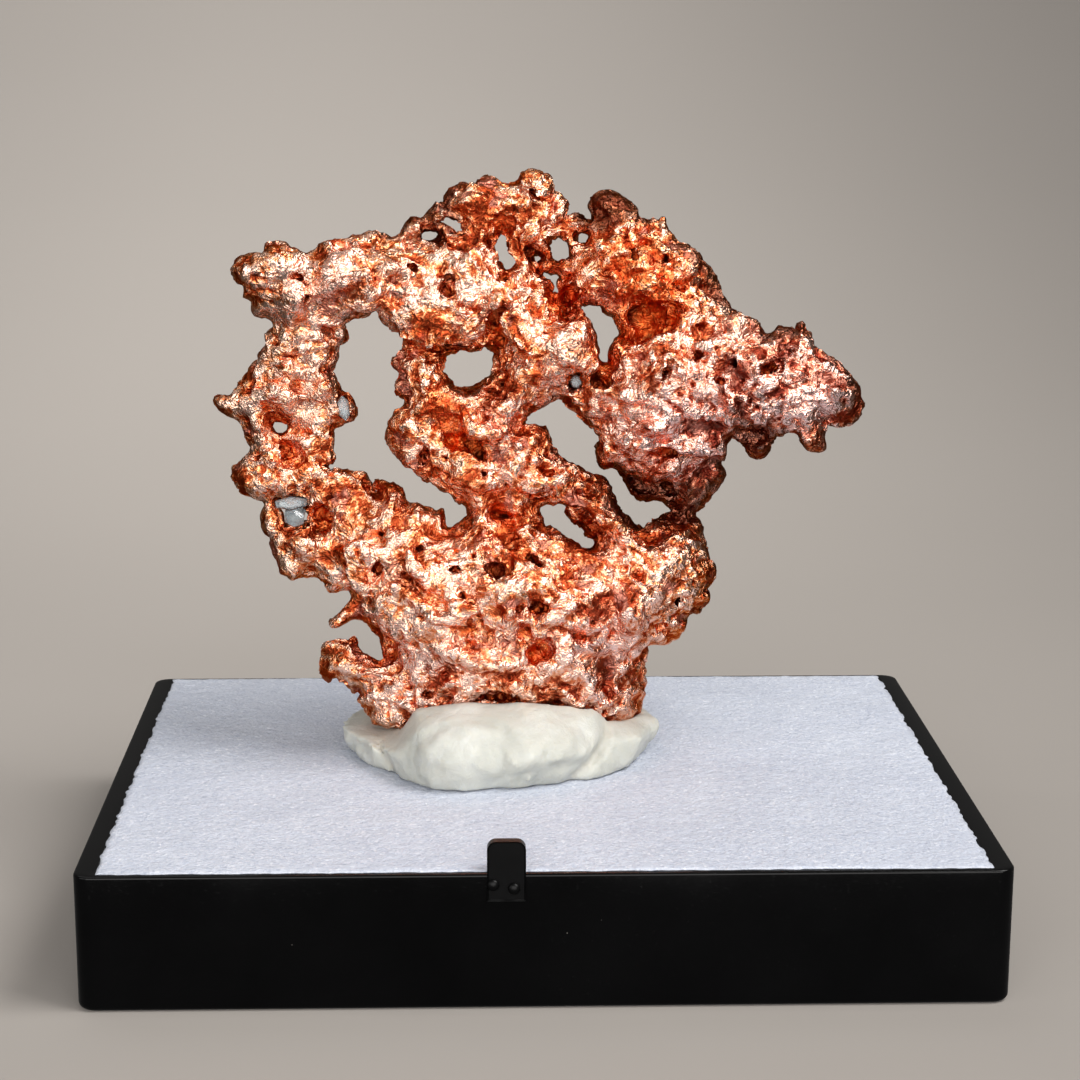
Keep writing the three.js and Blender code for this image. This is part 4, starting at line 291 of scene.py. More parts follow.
def cells(P, size, seed=0.0, jitter=0.95):
    """nearest feature point of a jittered lattice: distance to it and to the second, in cells, the way to it in mm, and its three random values"""
    Q = P / size + np.array([seed * 1.91, seed * 0.57, seed * 1.13])
    I = np.floor(Q)
    d1 = np.full(len(P), 9.0); d2 = d1.copy(); val = np.zeros((len(P), 3)); off = np.zeros((len(P), 3))
    for a in (-1, 0, 1):
        for b in (-1, 0, 1):
            for c in (-1, 0, 1):
                J = I + (a, b, c)
                h = np.stack([lattice(J[:, 0] + o, J[:, 1] + o * 1.7, J[:, 2] - o * 0.6) for o in (0.31, 5.17, 9.83)], 1)
                F = J + 0.5 + (h - 0.5) * jitter
                v = Q - F
                d = np.sqrt((v ** 2).sum(1))
                near = d < d1
                d2 = np.where(near, d1, np.minimum(d2, d))
                val[near] = h[near][:, [1, 2, 0]]; off[near] = v[near] * size
                d1 = np.where(near, d, d1)
    return d1, d2, off, val

def outline_distance(X, Z):
    best = np.full(X.shape, 1e9); inside = np.zeros(X.shape, bool)
    for flat in OUTLINE:
        P = np.array(flat).reshape(-1, 2)
        for (x0, z0), (x1, z1) in zip(P, np.roll(P, -1, 0)):
            ex, ez, wx, wz = x1 - x0, z1 - z0, X - x0, Z - z0
            t = np.clip((wx * ex + wz * ez) / (ex * ex + ez * ez + 1e-12), 0, 1)
            best = np.minimum(best, (wx - ex * t) ** 2 + (wz - ez * t) ** 2)
            if z0 != z1:
                inside ^= ((z0 <= Z) != (z1 <= Z)) & (X < x0 + (Z - z0) * ex / ez)
    return np.where(inside, 1, -1) * np.sqrt(best)

def thickness(X, Z):
    w = a = b = 0
    for x, z, m, h in BODY:
        r = (X - x) ** 2 + (Z - z) ** 2
        g = np.exp(-r / (2 * 3.4 * 3.4)) + 1e-9 / (1 + r)
        w = w + g; a = a + g * m; b = b + g * h
    return a / w, b / w

def to_space(S):
    y = PLANE_Y + S[:, 1]; s = (y - EYE[1]) / (PLANE_Y - EYE[1])
    return np.stack([EYE[0] + (S[:, 0] - EYE[0]) * s, y, EYE[2] + (S[:, 2] - EYE[2]) * s], 1)

def to_sheaf(P):
    s = (PLANE_Y - EYE[1]) / (P[:, 1] - EYE[1])
    return np.stack([EYE[0] + (P[:, 0] - EYE[0]) * s, P[:, 1] - PLANE_Y, EYE[2] + (P[:, 2] - EYE[2]) * s], 1)

class Field:
    """samples on a box grid, read back between the samples"""
    def __init__(self, xs, ys, zs, F):
        self.o = np.array([xs[0], ys[0], zs[0]]); self.s = xs[1] - xs[0]; self.F = F
    def at(self, P, grad=False):
        n = np.array(self.F.shape)
        Q = np.clip((P - self.o) / self.s, 0, n - 1.001); I = Q.astype(int); U = Q - I
        c = [[[self.F[I[:, 0] + a, I[:, 1] + b, I[:, 2] + d] for d in (0, 1)] for b in (0, 1)] for a in (0, 1)]
        u, v, w = U.T
        def lerp(x, y, t): return x + (y - x) * t
        x00, x01, x10, x11 = (lerp(c[0][b][d], c[1][b][d], u) for b, d in ((0, 0), (0, 1), (1, 0), (1, 1)))
        f = lerp(lerp(x00, x10, v), lerp(x01, x11, v), w)
        if not grad: return f
        gx = lerp(lerp(c[1][0][0] - c[0][0][0], c[1][1][0] - c[0][1][0], v), lerp(c[1][0][1] - c[0][0][1], c[1][1][1] - c[0][1][1], v), w)
        gy = lerp(x10 - x00, x11 - x01, w)
        gz = lerp(x01, x11, v) - lerp(x00, x10, v)
        return f, np.stack([gx, gy, gz], 1) / self.s

def surface(field, polish=2):
    """closed quad surface of a field, solid where it is above zero"""
    F = field.F
    ins = F > 0
    n = np.array(F.shape) - 1
    cnt = np.zeros(n, np.uint8)
    corners = [(a, b, c) for a in (0, 1) for b in (0, 1) for c in (0, 1)]
    def sub(a, b, c): return (slice(a, a + n[0]), slice(b, b + n[1]), slice(c, c + n[2]))
    for q in corners: cnt += ins[sub(*q)]
    act = (cnt > 0) & (cnt < 8)
    idx = np.full(n, -1, np.int64); I = np.argwhere(act); idx[act] = np.arange(len(I))
    total = np.zeros((len(I), 3)); num = np.zeros(len(I))
    for q in corners:
        for ax in range(3):
            if q[ax]: continue
            r = list(q); r[ax] = 1
            fa = F[I[:, 0] + q[0], I[:, 1] + q[1], I[:, 2] + q[2]]; fb = F[I[:, 0] + r[0], I[:, 1] + r[1], I[:, 2] + r[2]]
            hit = (fa > 0) != (fb > 0)
            t = np.where(hit, fa / np.where(hit, fa - fb, 1), 0)
            p = np.tile(np.array(q, float), (len(I), 1)); p[:, ax] = t
            total[hit] += p[hit]; num[hit] += 1
    V = (I + total / num[:, None]) * field.s + field.o
    quads = []
    for ax in range(3):
        o1, o2 = [(1, 2), (2, 0), (0, 1)][ax]
        a = ins.take(range(0, n[ax]), ax); b = ins.take(range(1, n[ax] + 1), ax)
        E = np.argwhere(a != b)
        E = E[(E[:, o1] > 0) & (E[:, o2] > 0) & (E[:, o1] < n[o1]) & (E[:, o2] < n[o2])]
        def cell(d1, d2):
            c = E.copy(); c[:, o1] -= d1; c[:, o2] -= d2
            return idx[c[:, 0], c[:, 1], c[:, 2]]
        q = np.stack([cell(1, 1), cell(0, 1), cell(0, 0), cell(1, 0)], 1)
        out = ins[E[:, 0], E[:, 1], E[:, 2]]
        q[~out] = q[~out][:, ::-1]
        quads.append(q)
    Q = np.concatenate(quads)
    for _ in range(polish):
        f, g = field.at(V, True)
        g2 = (g ** 2).sum(1) + 0.05
        step = -(f / g2)[:, None] * g
        L = np.sqrt((step ** 2).sum(1)); step *= np.minimum(1, 0.35 * field.s / (L + 1e-9))[:, None]
        V = V + step
    return V, Q

def shells(V, Q, least):
    """drops loose crumbs and sealed voids smaller than the main shell"""
    up = np.arange(len(V))
    for _ in range(400):
        m = up[Q].min(1)
        new = up.copy()
        for c in range(4): np.minimum.at(new, Q[:, c], m)
        new = new[new]
        if (new == up).all(): break
        up = new
    root, count = np.unique(up[Q[:, 0]], return_counts=True)
    keep = np.isin(up[Q[:, 0]], root[count >= least])
    Q = Q[keep]; used = np.unique(Q); to = np.full(len(V), -1); to[used] = np.arange(len(used))
    return V[used], to[Q], used

def normals(V, Q):
    a, b, c, d = (V[Q[:, i]] for i in range(4))
    n = np.cross(c - a, d - b); N = np.zeros_like(V)
    for i in range(4): np.add.at(N, Q[:, i], n)
    return N / (np.linalg.norm(N, axis=1, keepdims=True) + 1e-12)

def relax(V, Q, k, times):
    """a light even-out of the vertices over their neighbours"""
    for _ in range(times):
        S = np.zeros_like(V); C = np.zeros(len(V))
        for i in range(4):
            np.add.at(S, Q[:, i], V[Q[:, (i + 1) % 4]] + V[Q[:, (i - 1) % 4]]); np.add.at(C, Q[:, i], 2)
        V = V + k * (S / np.maximum(C, 1)[:, None] - V)
    return V

def mesh_object(name, V, faces, mat, attrs=None, smoothed=True, sharp=None):
    me = bpy.data.meshes.new(name)
    if isinstance(faces, np.ndarray):
        me.vertices.add(len(V)); me.vertices.foreach_set("co", (np.asarray(V) * MM).astype(np.float32).ravel())
        k = faces.shape[1]
        me.loops.add(faces.size); me.loops.foreach_set("vertex_index", faces.astype(np.int32).ravel())
        me.polygons.add(len(faces)); me.polygons.foreach_set("loop_start", np.arange(0, faces.size, k, dtype=np.int32)); me.polygons.foreach_set("loop_total", np.full(len(faces), k, np.int32))
        me.update(calc_edges=True); me.validate()
    else:
        me.from_pydata([tuple(float(c) * MM for c in v) for v in V], [], faces); me.update()
    me.polygons.foreach_set("use_smooth", np.full(len(me.polygons), smoothed))
    for key, val in (attrs or {}).items():
        a = me.attributes.new(key, "FLOAT", "POINT"); a.data.foreach_set("value", np.asarray(val, np.float32))
    if sharp: me.set_sharp_from_angle(angle=math.radians(sharp))
    me.materials.append(mat)
    ob = bpy.data.objects.new(name, me)
    bpy.context.scene.collection.objects.link(ob)
    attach(ob, "root")
    return ob

# ------------------------------------------------------------------ node helpers
class Nodes:
    def __init__(self, name):
        self.mat = bpy.data.materials.new(name); self.mat.use_nodes = True
        self.t = self.mat.node_tree
        self.b = self.t.nodes["Principled BSDF"]; self.out = self.t.nodes["Material Output"]
        self.obj = self.t.nodes.new("ShaderNodeTexCoord").outputs["Object"]
    def link(self, a, b): self.t.links.new(a, b); return self
    def attr(self, name):
        n = self.t.nodes.new("ShaderNodeAttribute"); n.attribute_name = name; return n.outputs["Fac"]
    def scaled(self, s, off=(0, 0, 0), rot=(0, 0, 0)):
        n = self.t.nodes.new("ShaderNodeMapping"); n.inputs["Scale"].default_value = s if hasattr(s, "__len__") else (s, s, s)
        n.inputs["Location"].default_value = off; n.inputs["Rotation"].default_value = rot
        self.link(self.obj, n.inputs["Vector"]); return n.outputs["Vector"]
    def noise(self, mm, detail=3, rough=0.55, distort=0.0, off=(0, 0, 0)):
        n = self.t.nodes.new("ShaderNodeTexNoise"); n.inputs["Scale"].default_value = 1.0
        n.inputs["Detail"].default_value = detail; n.inputs["Roughness"].default_value = rough; n.inputs["Distortion"].default_value = distort
        self.link(self.scaled(1000.0 / mm, off), n.inputs["Vector"]); return n.outputs["Fac"]
    def voronoi(self, mm, feature="F1", rand=1.0, off=(0, 0, 0), out="Distance", smooth=None):
        n = self.t.nodes.new("ShaderNodeTexVoronoi"); n.feature = feature; n.inputs["Scale"].default_value = 1.0
        n.inputs["Randomness"].default_value = rand
        if smooth is not None and feature == "SMOOTH_F1": n.inputs["Smoothness"].default_value = smooth
        self.link(self.scaled(1000.0 / mm, off), n.inputs["Vector"]); return n.outputs[out]
    def math(self, op, a, b=None, c=None, clamp=False):
        n = self.t.nodes.new("ShaderNodeMath"); n.operation = op; n.use_clamp = clamp
        for s, v in zip(n.inputs, (a, b, c)):
            if v is None: continue
            if isinstance(v, (int, float)): s.default_value = v
            else: self.link(v, s)
        return n.outputs[0]
    def ramp(self, fac, stops, mode="LINEAR"):
        n = self.t.nodes.new("ShaderNodeValToRGB"); cr = n.color_ramp; cr.interpolation = mode
        while len(cr.elements) < len(stops): cr.elements.new(0.5)
        for e, (p, c) in zip(cr.elements, stops):
            e.position = p; e.color = (*c, 1) if hasattr(c, "__len__") else (c, c, c, 1)
        self.link(fac, n.inputs["Fac"]); return n.outputs["Color"]
    def span(self, v, a, b, c, d):
        n = self.t.nodes.new("ShaderNodeMapRange"); n.clamp = True
        for key, x in zip(("From Min", "From Max", "To Min", "To Max"), (a, b, c, d)): n.inputs[key].default_value = x
        self.link(v, n.inputs["Value"]); return n.outputs["Result"]
    def mix(self, fac, a, b, mode="MIX"):
        n = self.t.nodes.new("ShaderNodeMix"); n.data_type = "RGBA"; n.blend_type = mode; n.clamp_factor = True
        for s, v in ((n.inputs[0], fac), (n.inputs[6], a), (n.inputs[7], b)):
            if isinstance(v, (int, float)): s.default_value = v
            elif isinstance(v, tuple): s.default_value = (*v, 1)
            else: self.link(v, s)
        return n.outputs[2]
    def bump(self, height, mm, strength=1.0, after=None):
        n = self.t.nodes.new("ShaderNodeBump"); n.inputs["Distance"].default_value = mm * MM; n.inputs["Strength"].default_value = strength
        self.link(height, n.inputs["Height"])
        if after is not None: self.link(after, n.inputs["Normal"])
        return n.outputs["Normal"]
    def facets(self, mm, amount, normal=None, off=(0, 0, 0)):
        """normal tilted by a random amount in each small cell"""
        cell = self.voronoi(mm, "F1", 1.0, off, "Color")
        sub = self.t.nodes.new("ShaderNodeVectorMath"); sub.operation = "SUBTRACT"; sub.inputs[1].default_value = (0.5, 0.5, 0.5); self.link(cell, sub.inputs[0])
        sc = self.t.nodes.new("ShaderNodeVectorMath"); sc.operation = "SCALE"; sc.inputs["Scale"].default_value = amount; self.link(sub.outputs[0], sc.inputs[0])
        if normal is None: normal = self.t.nodes.new("ShaderNodeNewGeometry").outputs["Normal"]
        ad = self.t.nodes.new("ShaderNodeVectorMath"); ad.operation = "ADD"; self.link(normal, ad.inputs[0]); self.link(sc.outputs[0], ad.inputs[1])
        nm = self.t.nodes.new("ShaderNodeVectorMath"); nm.operation = "NORMALIZE"; self.link(ad.outputs[0], nm.inputs[0])
        return nm.outputs[0]
    def set(self, **kw):
        for k, v in kw.items(): self.b.inputs[k.replace("_", " ")].default_value = v
        return self

# ------------------------------------------------------------------ materials
def copper_material():
    m = Nodes("native_copper")
    pit, hollow_oxide_and_bounce, rose, painted_shade, crest_polish_and_highlight, painted_bounce_red = (m.attr(k) for k in ("pit", "hollow_oxide_and_bounce", "rose", "painted_shade", "crest_polish_and_highlight", "painted_bounce_red"))
    fleck = m.noise(2.6, 5, 0.62, 0.8)
    fine = m.noise(0.75, 4, 0.62, 0.6, (3.1, 1.7, 9.2))
    worm = m.math("ABSOLUTE", m.math("SUBTRACT", m.noise(1.3, 3, 0.55, 1.0, (6.0, 2.0, 4.0)), 0.5))
    tone = m.voronoi(0.60, "F1", 1.0, (7.7, 2.1, 3.3), "Color")
    sep = m.t.nodes.new("ShaderNodeSeparateColor"); m.link(tone, sep.inputs[0])
    # polish: 1 on worn crests, 0 deep in the texture; the pale top of the ramps is partly real polish, partly painted
    # highlight, raised further in the listed highlight patches
    polish = m.math("ADD", m.math("MULTIPLY_ADD", crest_polish_and_highlight, 0.62, m.math("MULTIPLY", m.math("SUBTRACT", fine, 0.5), 0.85)), m.math("MULTIPLY", m.math("SUBTRACT", sep.outputs[0], 0.5), 0.22))
    polish = m.math("ADD", polish, m.math("ADD", m.math("MULTIPLY", m.math("SUBTRACT", fleck, 0.5), 0.70), m.span(worm, 0.0, 0.10, 0.14, -0.06)))
    warm = m.ramp(polish, [(0.12, (0.36, 0.055, 0.016)), (0.21, (0.72, 0.17, 0.050)), (0.29, (0.92, 0.34, 0.145)), (0.37, (0.96, 0.46, 0.25)), (0.44, (0.985, 0.55, 0.375)), (0.58, (0.99, 0.645, 0.495))])
    pink = m.ramp(polish, [(0.12, (0.20, 0.030, 0.018)), (0.21, (0.50, 0.11, 0.060)), (0.29, (0.78, 0.27, 0.17)), (0.37, (0.90, 0.43, 0.31)), (0.44, (0.97, 0.54, 0.45)), (0.58, (0.99, 0.66, 0.57))])
    mauve = m.math("MULTIPLY", m.span(m.noise(3.3, 3, 0.5, 0.5, (1.0, 9.0, 3.0)), 0.56, 0.62, 0.0, 0.75), m.span(polish, 0.34, 0.44, 1.0, 0.0))
    col = m.mix(rose, warm, pink)
    col = m.mix(mauve, col, (0.54, 0.215, 0.155))
    # deep red in the hollows: partly oxide, partly painted bounce light
    deep = m.ramp(fine, [(0.3, (0.34, 0.035, 0.008)), (0.50, (0.74, 0.13, 0.024)), (0.70, (0.93, 0.31, 0.085))])
    # painted bounce light: vivid orange-red in the listed patches
    glow = m.ramp(polish, [(0.02, (0.55, 0.060, 0.012)), (0.20, (0.84, 0.20, 0.055)), (0.34, (0.95, 0.37, 0.17)), (0.48, (0.98, 0.60, 0.42))])
    col = m.mix(m.span(m.math("MULTIPLY_ADD", m.math("SUBTRACT", fleck, 0.5), 0.8, painted_bounce_red), 0.34, 0.66, 0.0, 0.85), col, glow)
    depth = m.math("MULTIPLY_ADD", m.math("SUBTRACT", fine, 0.5), 0.5, hollow_oxide_and_bounce)
    col = m.mix(m.span(depth, 0.30, 0.70, 0.0, 0.95), col, deep)
    # painted shade: dark brown in the listed shade spots and along the outline
    shade_brown = m.ramp(fine, [(0.3, (0.055, 0.014, 0.008)), (0.6, (0.22, 0.065, 0.035)), (0.75, (0.55, 0.22, 0.14))])
    shade_mask = m.math("MULTIPLY_ADD", m.math("SUBTRACT", fleck, 0.5), 1.6, painted_shade)
    col = m.mix(m.span(shade_mask, 0.40, 0.75, 0.0, 0.85), col, shade_brown)
    # pores and creases near-black: partly dark oxide, partly painted crevice shade
    pit_shade_mask = m.math("MULTIPLY_ADD", m.math("SUBTRACT", fine, 0.5), 0.6, pit)
    col = m.mix(m.span(pit_shade_mask, 0.50, 0.95, 0.0, 0.92), col, (0.10, 0.016, 0.006))
    m.link(col, m.b.inputs["Base Color"])
    rough = m.math("ADD", m.span(polish, 0.15, 0.5, 0.30, 0.17), m.span(depth, 0.4, 1.0, 0.0, 0.12))
    m.link(rough, m.b.inputs["Roughness"])
    m.set(Metallic=1.0)
    m.b.inputs["Specular Tint"].default_value = (0.80, 0.36, 0.20, 1)
    n = m.facets(0.80, 0.46, None, (1.3, 4.1, 2.2))
    n = m.bump(m.noise(0.9, 4, 0.62, 0.8, (4.0, 4.0, 1.0)), 0.30, 0.7, n)
    n = m.bump(m.span(worm, 0.0, 0.16, 1.0, 0.0), 0.16, 0.7, n)
    n = m.bump(m.noise(0.36, 2, 0.5, 0.4, (2.2, 8.0, 6.0)), 0.06, 0.5, n)
    m.link(n, m.b.inputs["Normal"])
    return m.mat

def plastic_material(name="black_plastic", dull=0.0, sheen=0.17):
    m = Nodes(name)
    dust = m.noise(0.35, 2, 0.6, 0, (5, 1, 2))
    cloud = m.noise(16, 4, 0.55)
    speck = m.span(m.voronoi(1.3, "F1", 1.0, (2, 3, 4)), 0.02, 0.055, 1.0, 0.0)
    keep = m.span(m.noise(5.0, 1, 0.5, 0, (8, 8, 3)), 0.60, 0.66, 0.0, 1.0)
    spots = m.math("MULTIPLY", speck, keep)
    base = m.ramp(cloud, [(0.3, (0.0012, 0.0012, 0.0013)), (0.7, (0.0022, 0.0022, 0.0024))])
    m.link(m.mix(m.math("MULTIPLY", spots, 0.35), base, (0.35, 0.33, 0.30)), m.b.inputs["Base Color"])
    r = m.math("ADD", m.span(cloud, 0.35, 0.7, 0.10 + dull, 0.20 + dull), m.span(dust, 0.6, 0.75, 0.0, 0.12))
    m.link(r, m.b.inputs["Roughness"])
    m.set(**{"IOR": 1.5, "Specular IOR Level": sheen})
    n = m.bump(m.noise(9.0, 3, 0.5, 0, (1, 2, 3)), 0.10, 0.35)
    n = m.bump(dust, 0.01, 0.35, n)
    m.link(n, m.b.inputs["Normal"])
    return m.mat

def foam_material():
    m = Nodes("foam")
    grain = m.voronoi(0.26, "F1", 1.0, (0, 0, 0), "Color")
    sep = m.t.nodes.new("ShaderNodeSeparateColor"); m.link(grain, sep.inputs[0])
    cloud = m.noise(9.0, 4, 0.6)
    base = m.ramp(cloud, [(0.3, (0.50, 0.535, 0.625)), (0.7, (0.56, 0.595, 0.68))])
    shade = m.ramp(sep.outputs[0], [(0.0, (0.80, 0.82, 0.86)), (0.25, (0.93, 0.94, 0.96)), (0.6, (1.0, 1.0, 1.0)), (0.93, (1.0, 1.0, 1.0))])
    col = m.mix(1.0, base, shade, "MULTIPLY")
    # painted glints: a few grains pushed to near-white
    col = m.mix(m.span(sep.outputs[2], 0.93, 0.98, 0.0, 0.32), col, (0.95, 0.96, 1.0))
    m.link(col, m.b.inputs["Base Color"])
    m.link(m.span(sep.outputs[1], 0.0, 1.0, 0.50, 0.75), m.b.inputs["Roughness"])
    m.set(**{"IOR": 1.5, "Subsurface Weight": 0.25, "Subsurface Radius": (1.0, 1.0, 1.0), "Subsurface Scale": 0.0010})
    n = m.bump(m.noise(0.8, 4, 0.65, 0, (3, 3, 3)), 0.30, 0.6)
    n = m.bump(m.voronoi(0.30, "F1", 1.0), 0.10, 0.7, n)
    m.link(n, m.b.inputs["Normal"])
    return m.mat

def putty_material():
    m = Nodes("putty")
    cloud = m.noise(5.0, 5, 0.6, 0.4)
    crease = m.attr("crease")
    base = m.ramp(cloud, [(0.3, (0.41, 0.418, 0.378)), (0.5, (0.47, 0.477, 0.436)), (0.72, (0.54, 0.55, 0.515))])
    # creases tinted darker and browner: painted shade along the folds
    m.link(m.mix(m.math("MULTIPLY", crease, 0.35), base, (0.48, 0.42, 0.33)), m.b.inputs["Base Color"])
    m.link(m.span(m.noise(2.0, 3, 0.5, 0, (2, 2, 2)), 0.3, 0.7, 0.42, 0.62), m.b.inputs["Roughness"])
    m.set(**{"IOR": 1.45, "Subsurface Weight": 0.35, "Subsurface Radius": (1.0, 0.85, 0.6), "Subsurface Scale": 0.0015})
    n = m.bump(m.noise(2.2, 5, 0.6, 0.5, (6, 1, 4)), 0.40, 0.7)
    n = m.bump(m.noise(0.6, 4, 0.65, 0, (1, 1, 8)), 0.08, 0.6, n)
    m.link(n, m.b.inputs["Normal"])
    return m.mat

def calcite_material():
    m = Nodes("calcite")
    cloud = m.noise(1.1, 4, 0.6, 0.3)
    m.link(m.ramp(cloud, [(0.35, (0.36, 0.42, 0.45)), (0.6, (0.60, 0.67, 0.70)), (0.75, (0.86, 0.89, 0.90))]), m.b.inputs["Base Color"])
    m.link(m.span(cloud, 0.3, 0.7, 0.06, 0.25), m.b.inputs["Roughness"])
    m.set(**{"IOR": 1.58, "Transmission Weight": 0.72})
    m.link(m.bump(m.noise(0.5, 4, 0.6), 0.04, 0.6), m.b.inputs["Normal"])
    return m.mat

MAT = {"copper": copper_material(), "plastic": plastic_material(), "tongue": plastic_material("black_plastic_worn", 0.24, 0.16), "foam": foam_material(), "putty": putty_material(), "calcite": calcite_material()}

# ------------------------------------------------------------------ tray
CORNER, STEPS = 1.6, 10
def ring(a, b, r, z):
    r = max(r, 0.05); P = []
    for q in range(4):
        cx = (a - r) * (1 if q in (0, 3) else -1); cy = (b - r) * (1 if q < 2 else -1)
        for s in range(STEPS + 1):
            t = (q + s / STEPS) * math.pi / 2
            P.append((cx + r * math.cos(t), cy + r * math.sin(t), z))
    return P
def stack(rings, closed=True):
    n = len(rings[0]); V = [p for r in rings for p in r]; F = []
    for i in range(len(rings) - 1):
        for j in range(n):
            a, b = i * n + j, i * n + (j + 1) % n
            F.append((a, b, b + n, a + n))
    if closed:
        F.append(tuple(range(n))[::-1]); F.append(tuple((len(rings) - 1) * n + j for j in range(n)))
    return V, F

def build_tray():
    a, b, H = TRAY_W / 2, TRAY_L / 2, TRAY_H
    def out(z, i, c=0.0): k = (H - z) * DRAFT; return ring(a - k - i, b - k - i, CORNER - i * 0.9, z)
    def ins(z, i): w = (H - z) * DRAFT * 2 + i; return ring(a - WALL - w, b - WALL_END - w, CORNER - 0.6, z)
    F = 0.65; rings = []
    for s in range(7):
        t = s / 6 * math.pi / 2; rings.append(out(F * (1 - math.cos(t)), F * (1 - math.sin(t))))
    rings += [out(3.0, 0), out(9.0, 0)]
    e = 0.22
    for s in range(5):
        t = s / 4 * math.pi / 2; rings.append(out(H - e + e * math.sin(t), e * (1 - math.cos(t))))
    for s in range(5):
        t = s / 4 * math.pi / 2; rings.append(ins(H - e * (1 - math.cos(t)), -e * (1 - math.sin(t))))
    rings += [ins(9.0, 0), ins(FLOOR + 0.3, 0), ins(FLOOR, 0.3)]
    V, Fc = stack(rings)
    ob = mesh_object("tray", V, Fc, MAT["plastic"])
    return ob
tray = build_tray()
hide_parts("box_base")

def build_tongue():
    x0, x1, z0, z1, r = -5.21, -1.82, 10.1, 15.55, 0.8
    e = 0.16; outline = []
    def prof(inset):
        P = []; rr = max(r - inset, 0.2)
        P.append((x0 + inset, z0 + inset)); P.append((x1 - inset, z0 + inset))
        for s in range(9):
            t = s / 8 * math.pi / 2; P.append((x1 - inset - rr + rr * math.cos(t), z1 - inset - rr + rr * math.sin(t)))
        for s in range(9):
            t = math.pi / 2 + s / 8 * math.pi / 2; P.append((x0 + inset + rr + rr * math.cos(t), z1 - inset - rr + rr * math.sin(t)))
        return P
    yf, yb = -TRAY_L / 2 - 0.25, -TRAY_L / 2 + 0.9
    rings = []
    for s in range(5):
        t = s / 4 * math.pi / 2; rings.append([(x, yf + e * (1 - math.sin(t)), z) for x, z in prof(e * (1 - math.sin(t)))])
    for s in range(5):
        t = s / 4 * math.pi / 2; rings.append([(x, yb - e * (1 - math.sin(t)), z) for x, z in prof(e * (1 - math.cos(t)))])
    V, F = stack(rings)
    ob = mesh_object("latch_tongue", V, F, MAT["tongue"], sharp=12)
    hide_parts("box_base")
    for i, (px, pz) in enumerate(((-4.68, 11.62), (-2.86, 11.28))):
        V, F = [], []
        R, n, m = 0.55, 20, 6
        for s in range(m + 1):
            t = s / m * math.pi / 2
            for j in range(n):
                q = 2 * math.pi * j / n
                V.append((px + R * math.cos(t) * math.cos(q), yf + 0.05 - 0.42 * math.sin(t) if s else yf + 0.25, pz + R * math.cos(t) * math.sin(q)))
        for s in range(m):
            for j in range(n):
                a, b = s * n + j, s * n + (j + 1) % n
                F.append((a, b, b + n, a + n))
        F.append(tuple(range(n))[::-1])
        p = mesh_object(f"latch_pip_{i}", V, F, MAT["tongue"]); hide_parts("box_base")
build_tongue()

# ------------------------------------------------------------------ copper
def blur(A, r, times=3):
    """box blur of radius r cells along each axis"""
    for ax in range(3):
        for _ in range(times):
            n = A.shape[ax]
            pad = [(0, 0)] * 3; pad[ax] = (r + 1, r)
            c = np.cumsum(np.pad(A, pad, mode="edge"), axis=ax, dtype=np.float64)
            hi = c.take(range(2 * r + 1, 2 * r + 1 + n), ax); lo = c.take(range(0, n), ax)
            A = ((hi - lo) / (2 * r + 1)).astype(np.float32)
    return A

def crystal_value(c, X, T, Z):
    cx, ct, cz, a, b, h, turn, lean = c
    px, pt, pz = X - cx, T - ct, Z - cz
    u = px * math.cos(turn) + pz * math.sin(turn); v0 = -px * math.sin(turn) + pz * math.cos(turn)
    w = pt * math.cos(lean) + v0 * math.sin(lean); v = -pt * math.sin(lean) + v0 * math.cos(lean)
    return np.minimum(np.minimum(a - np.abs(u), b - np.abs(w)), h - np.abs(v))

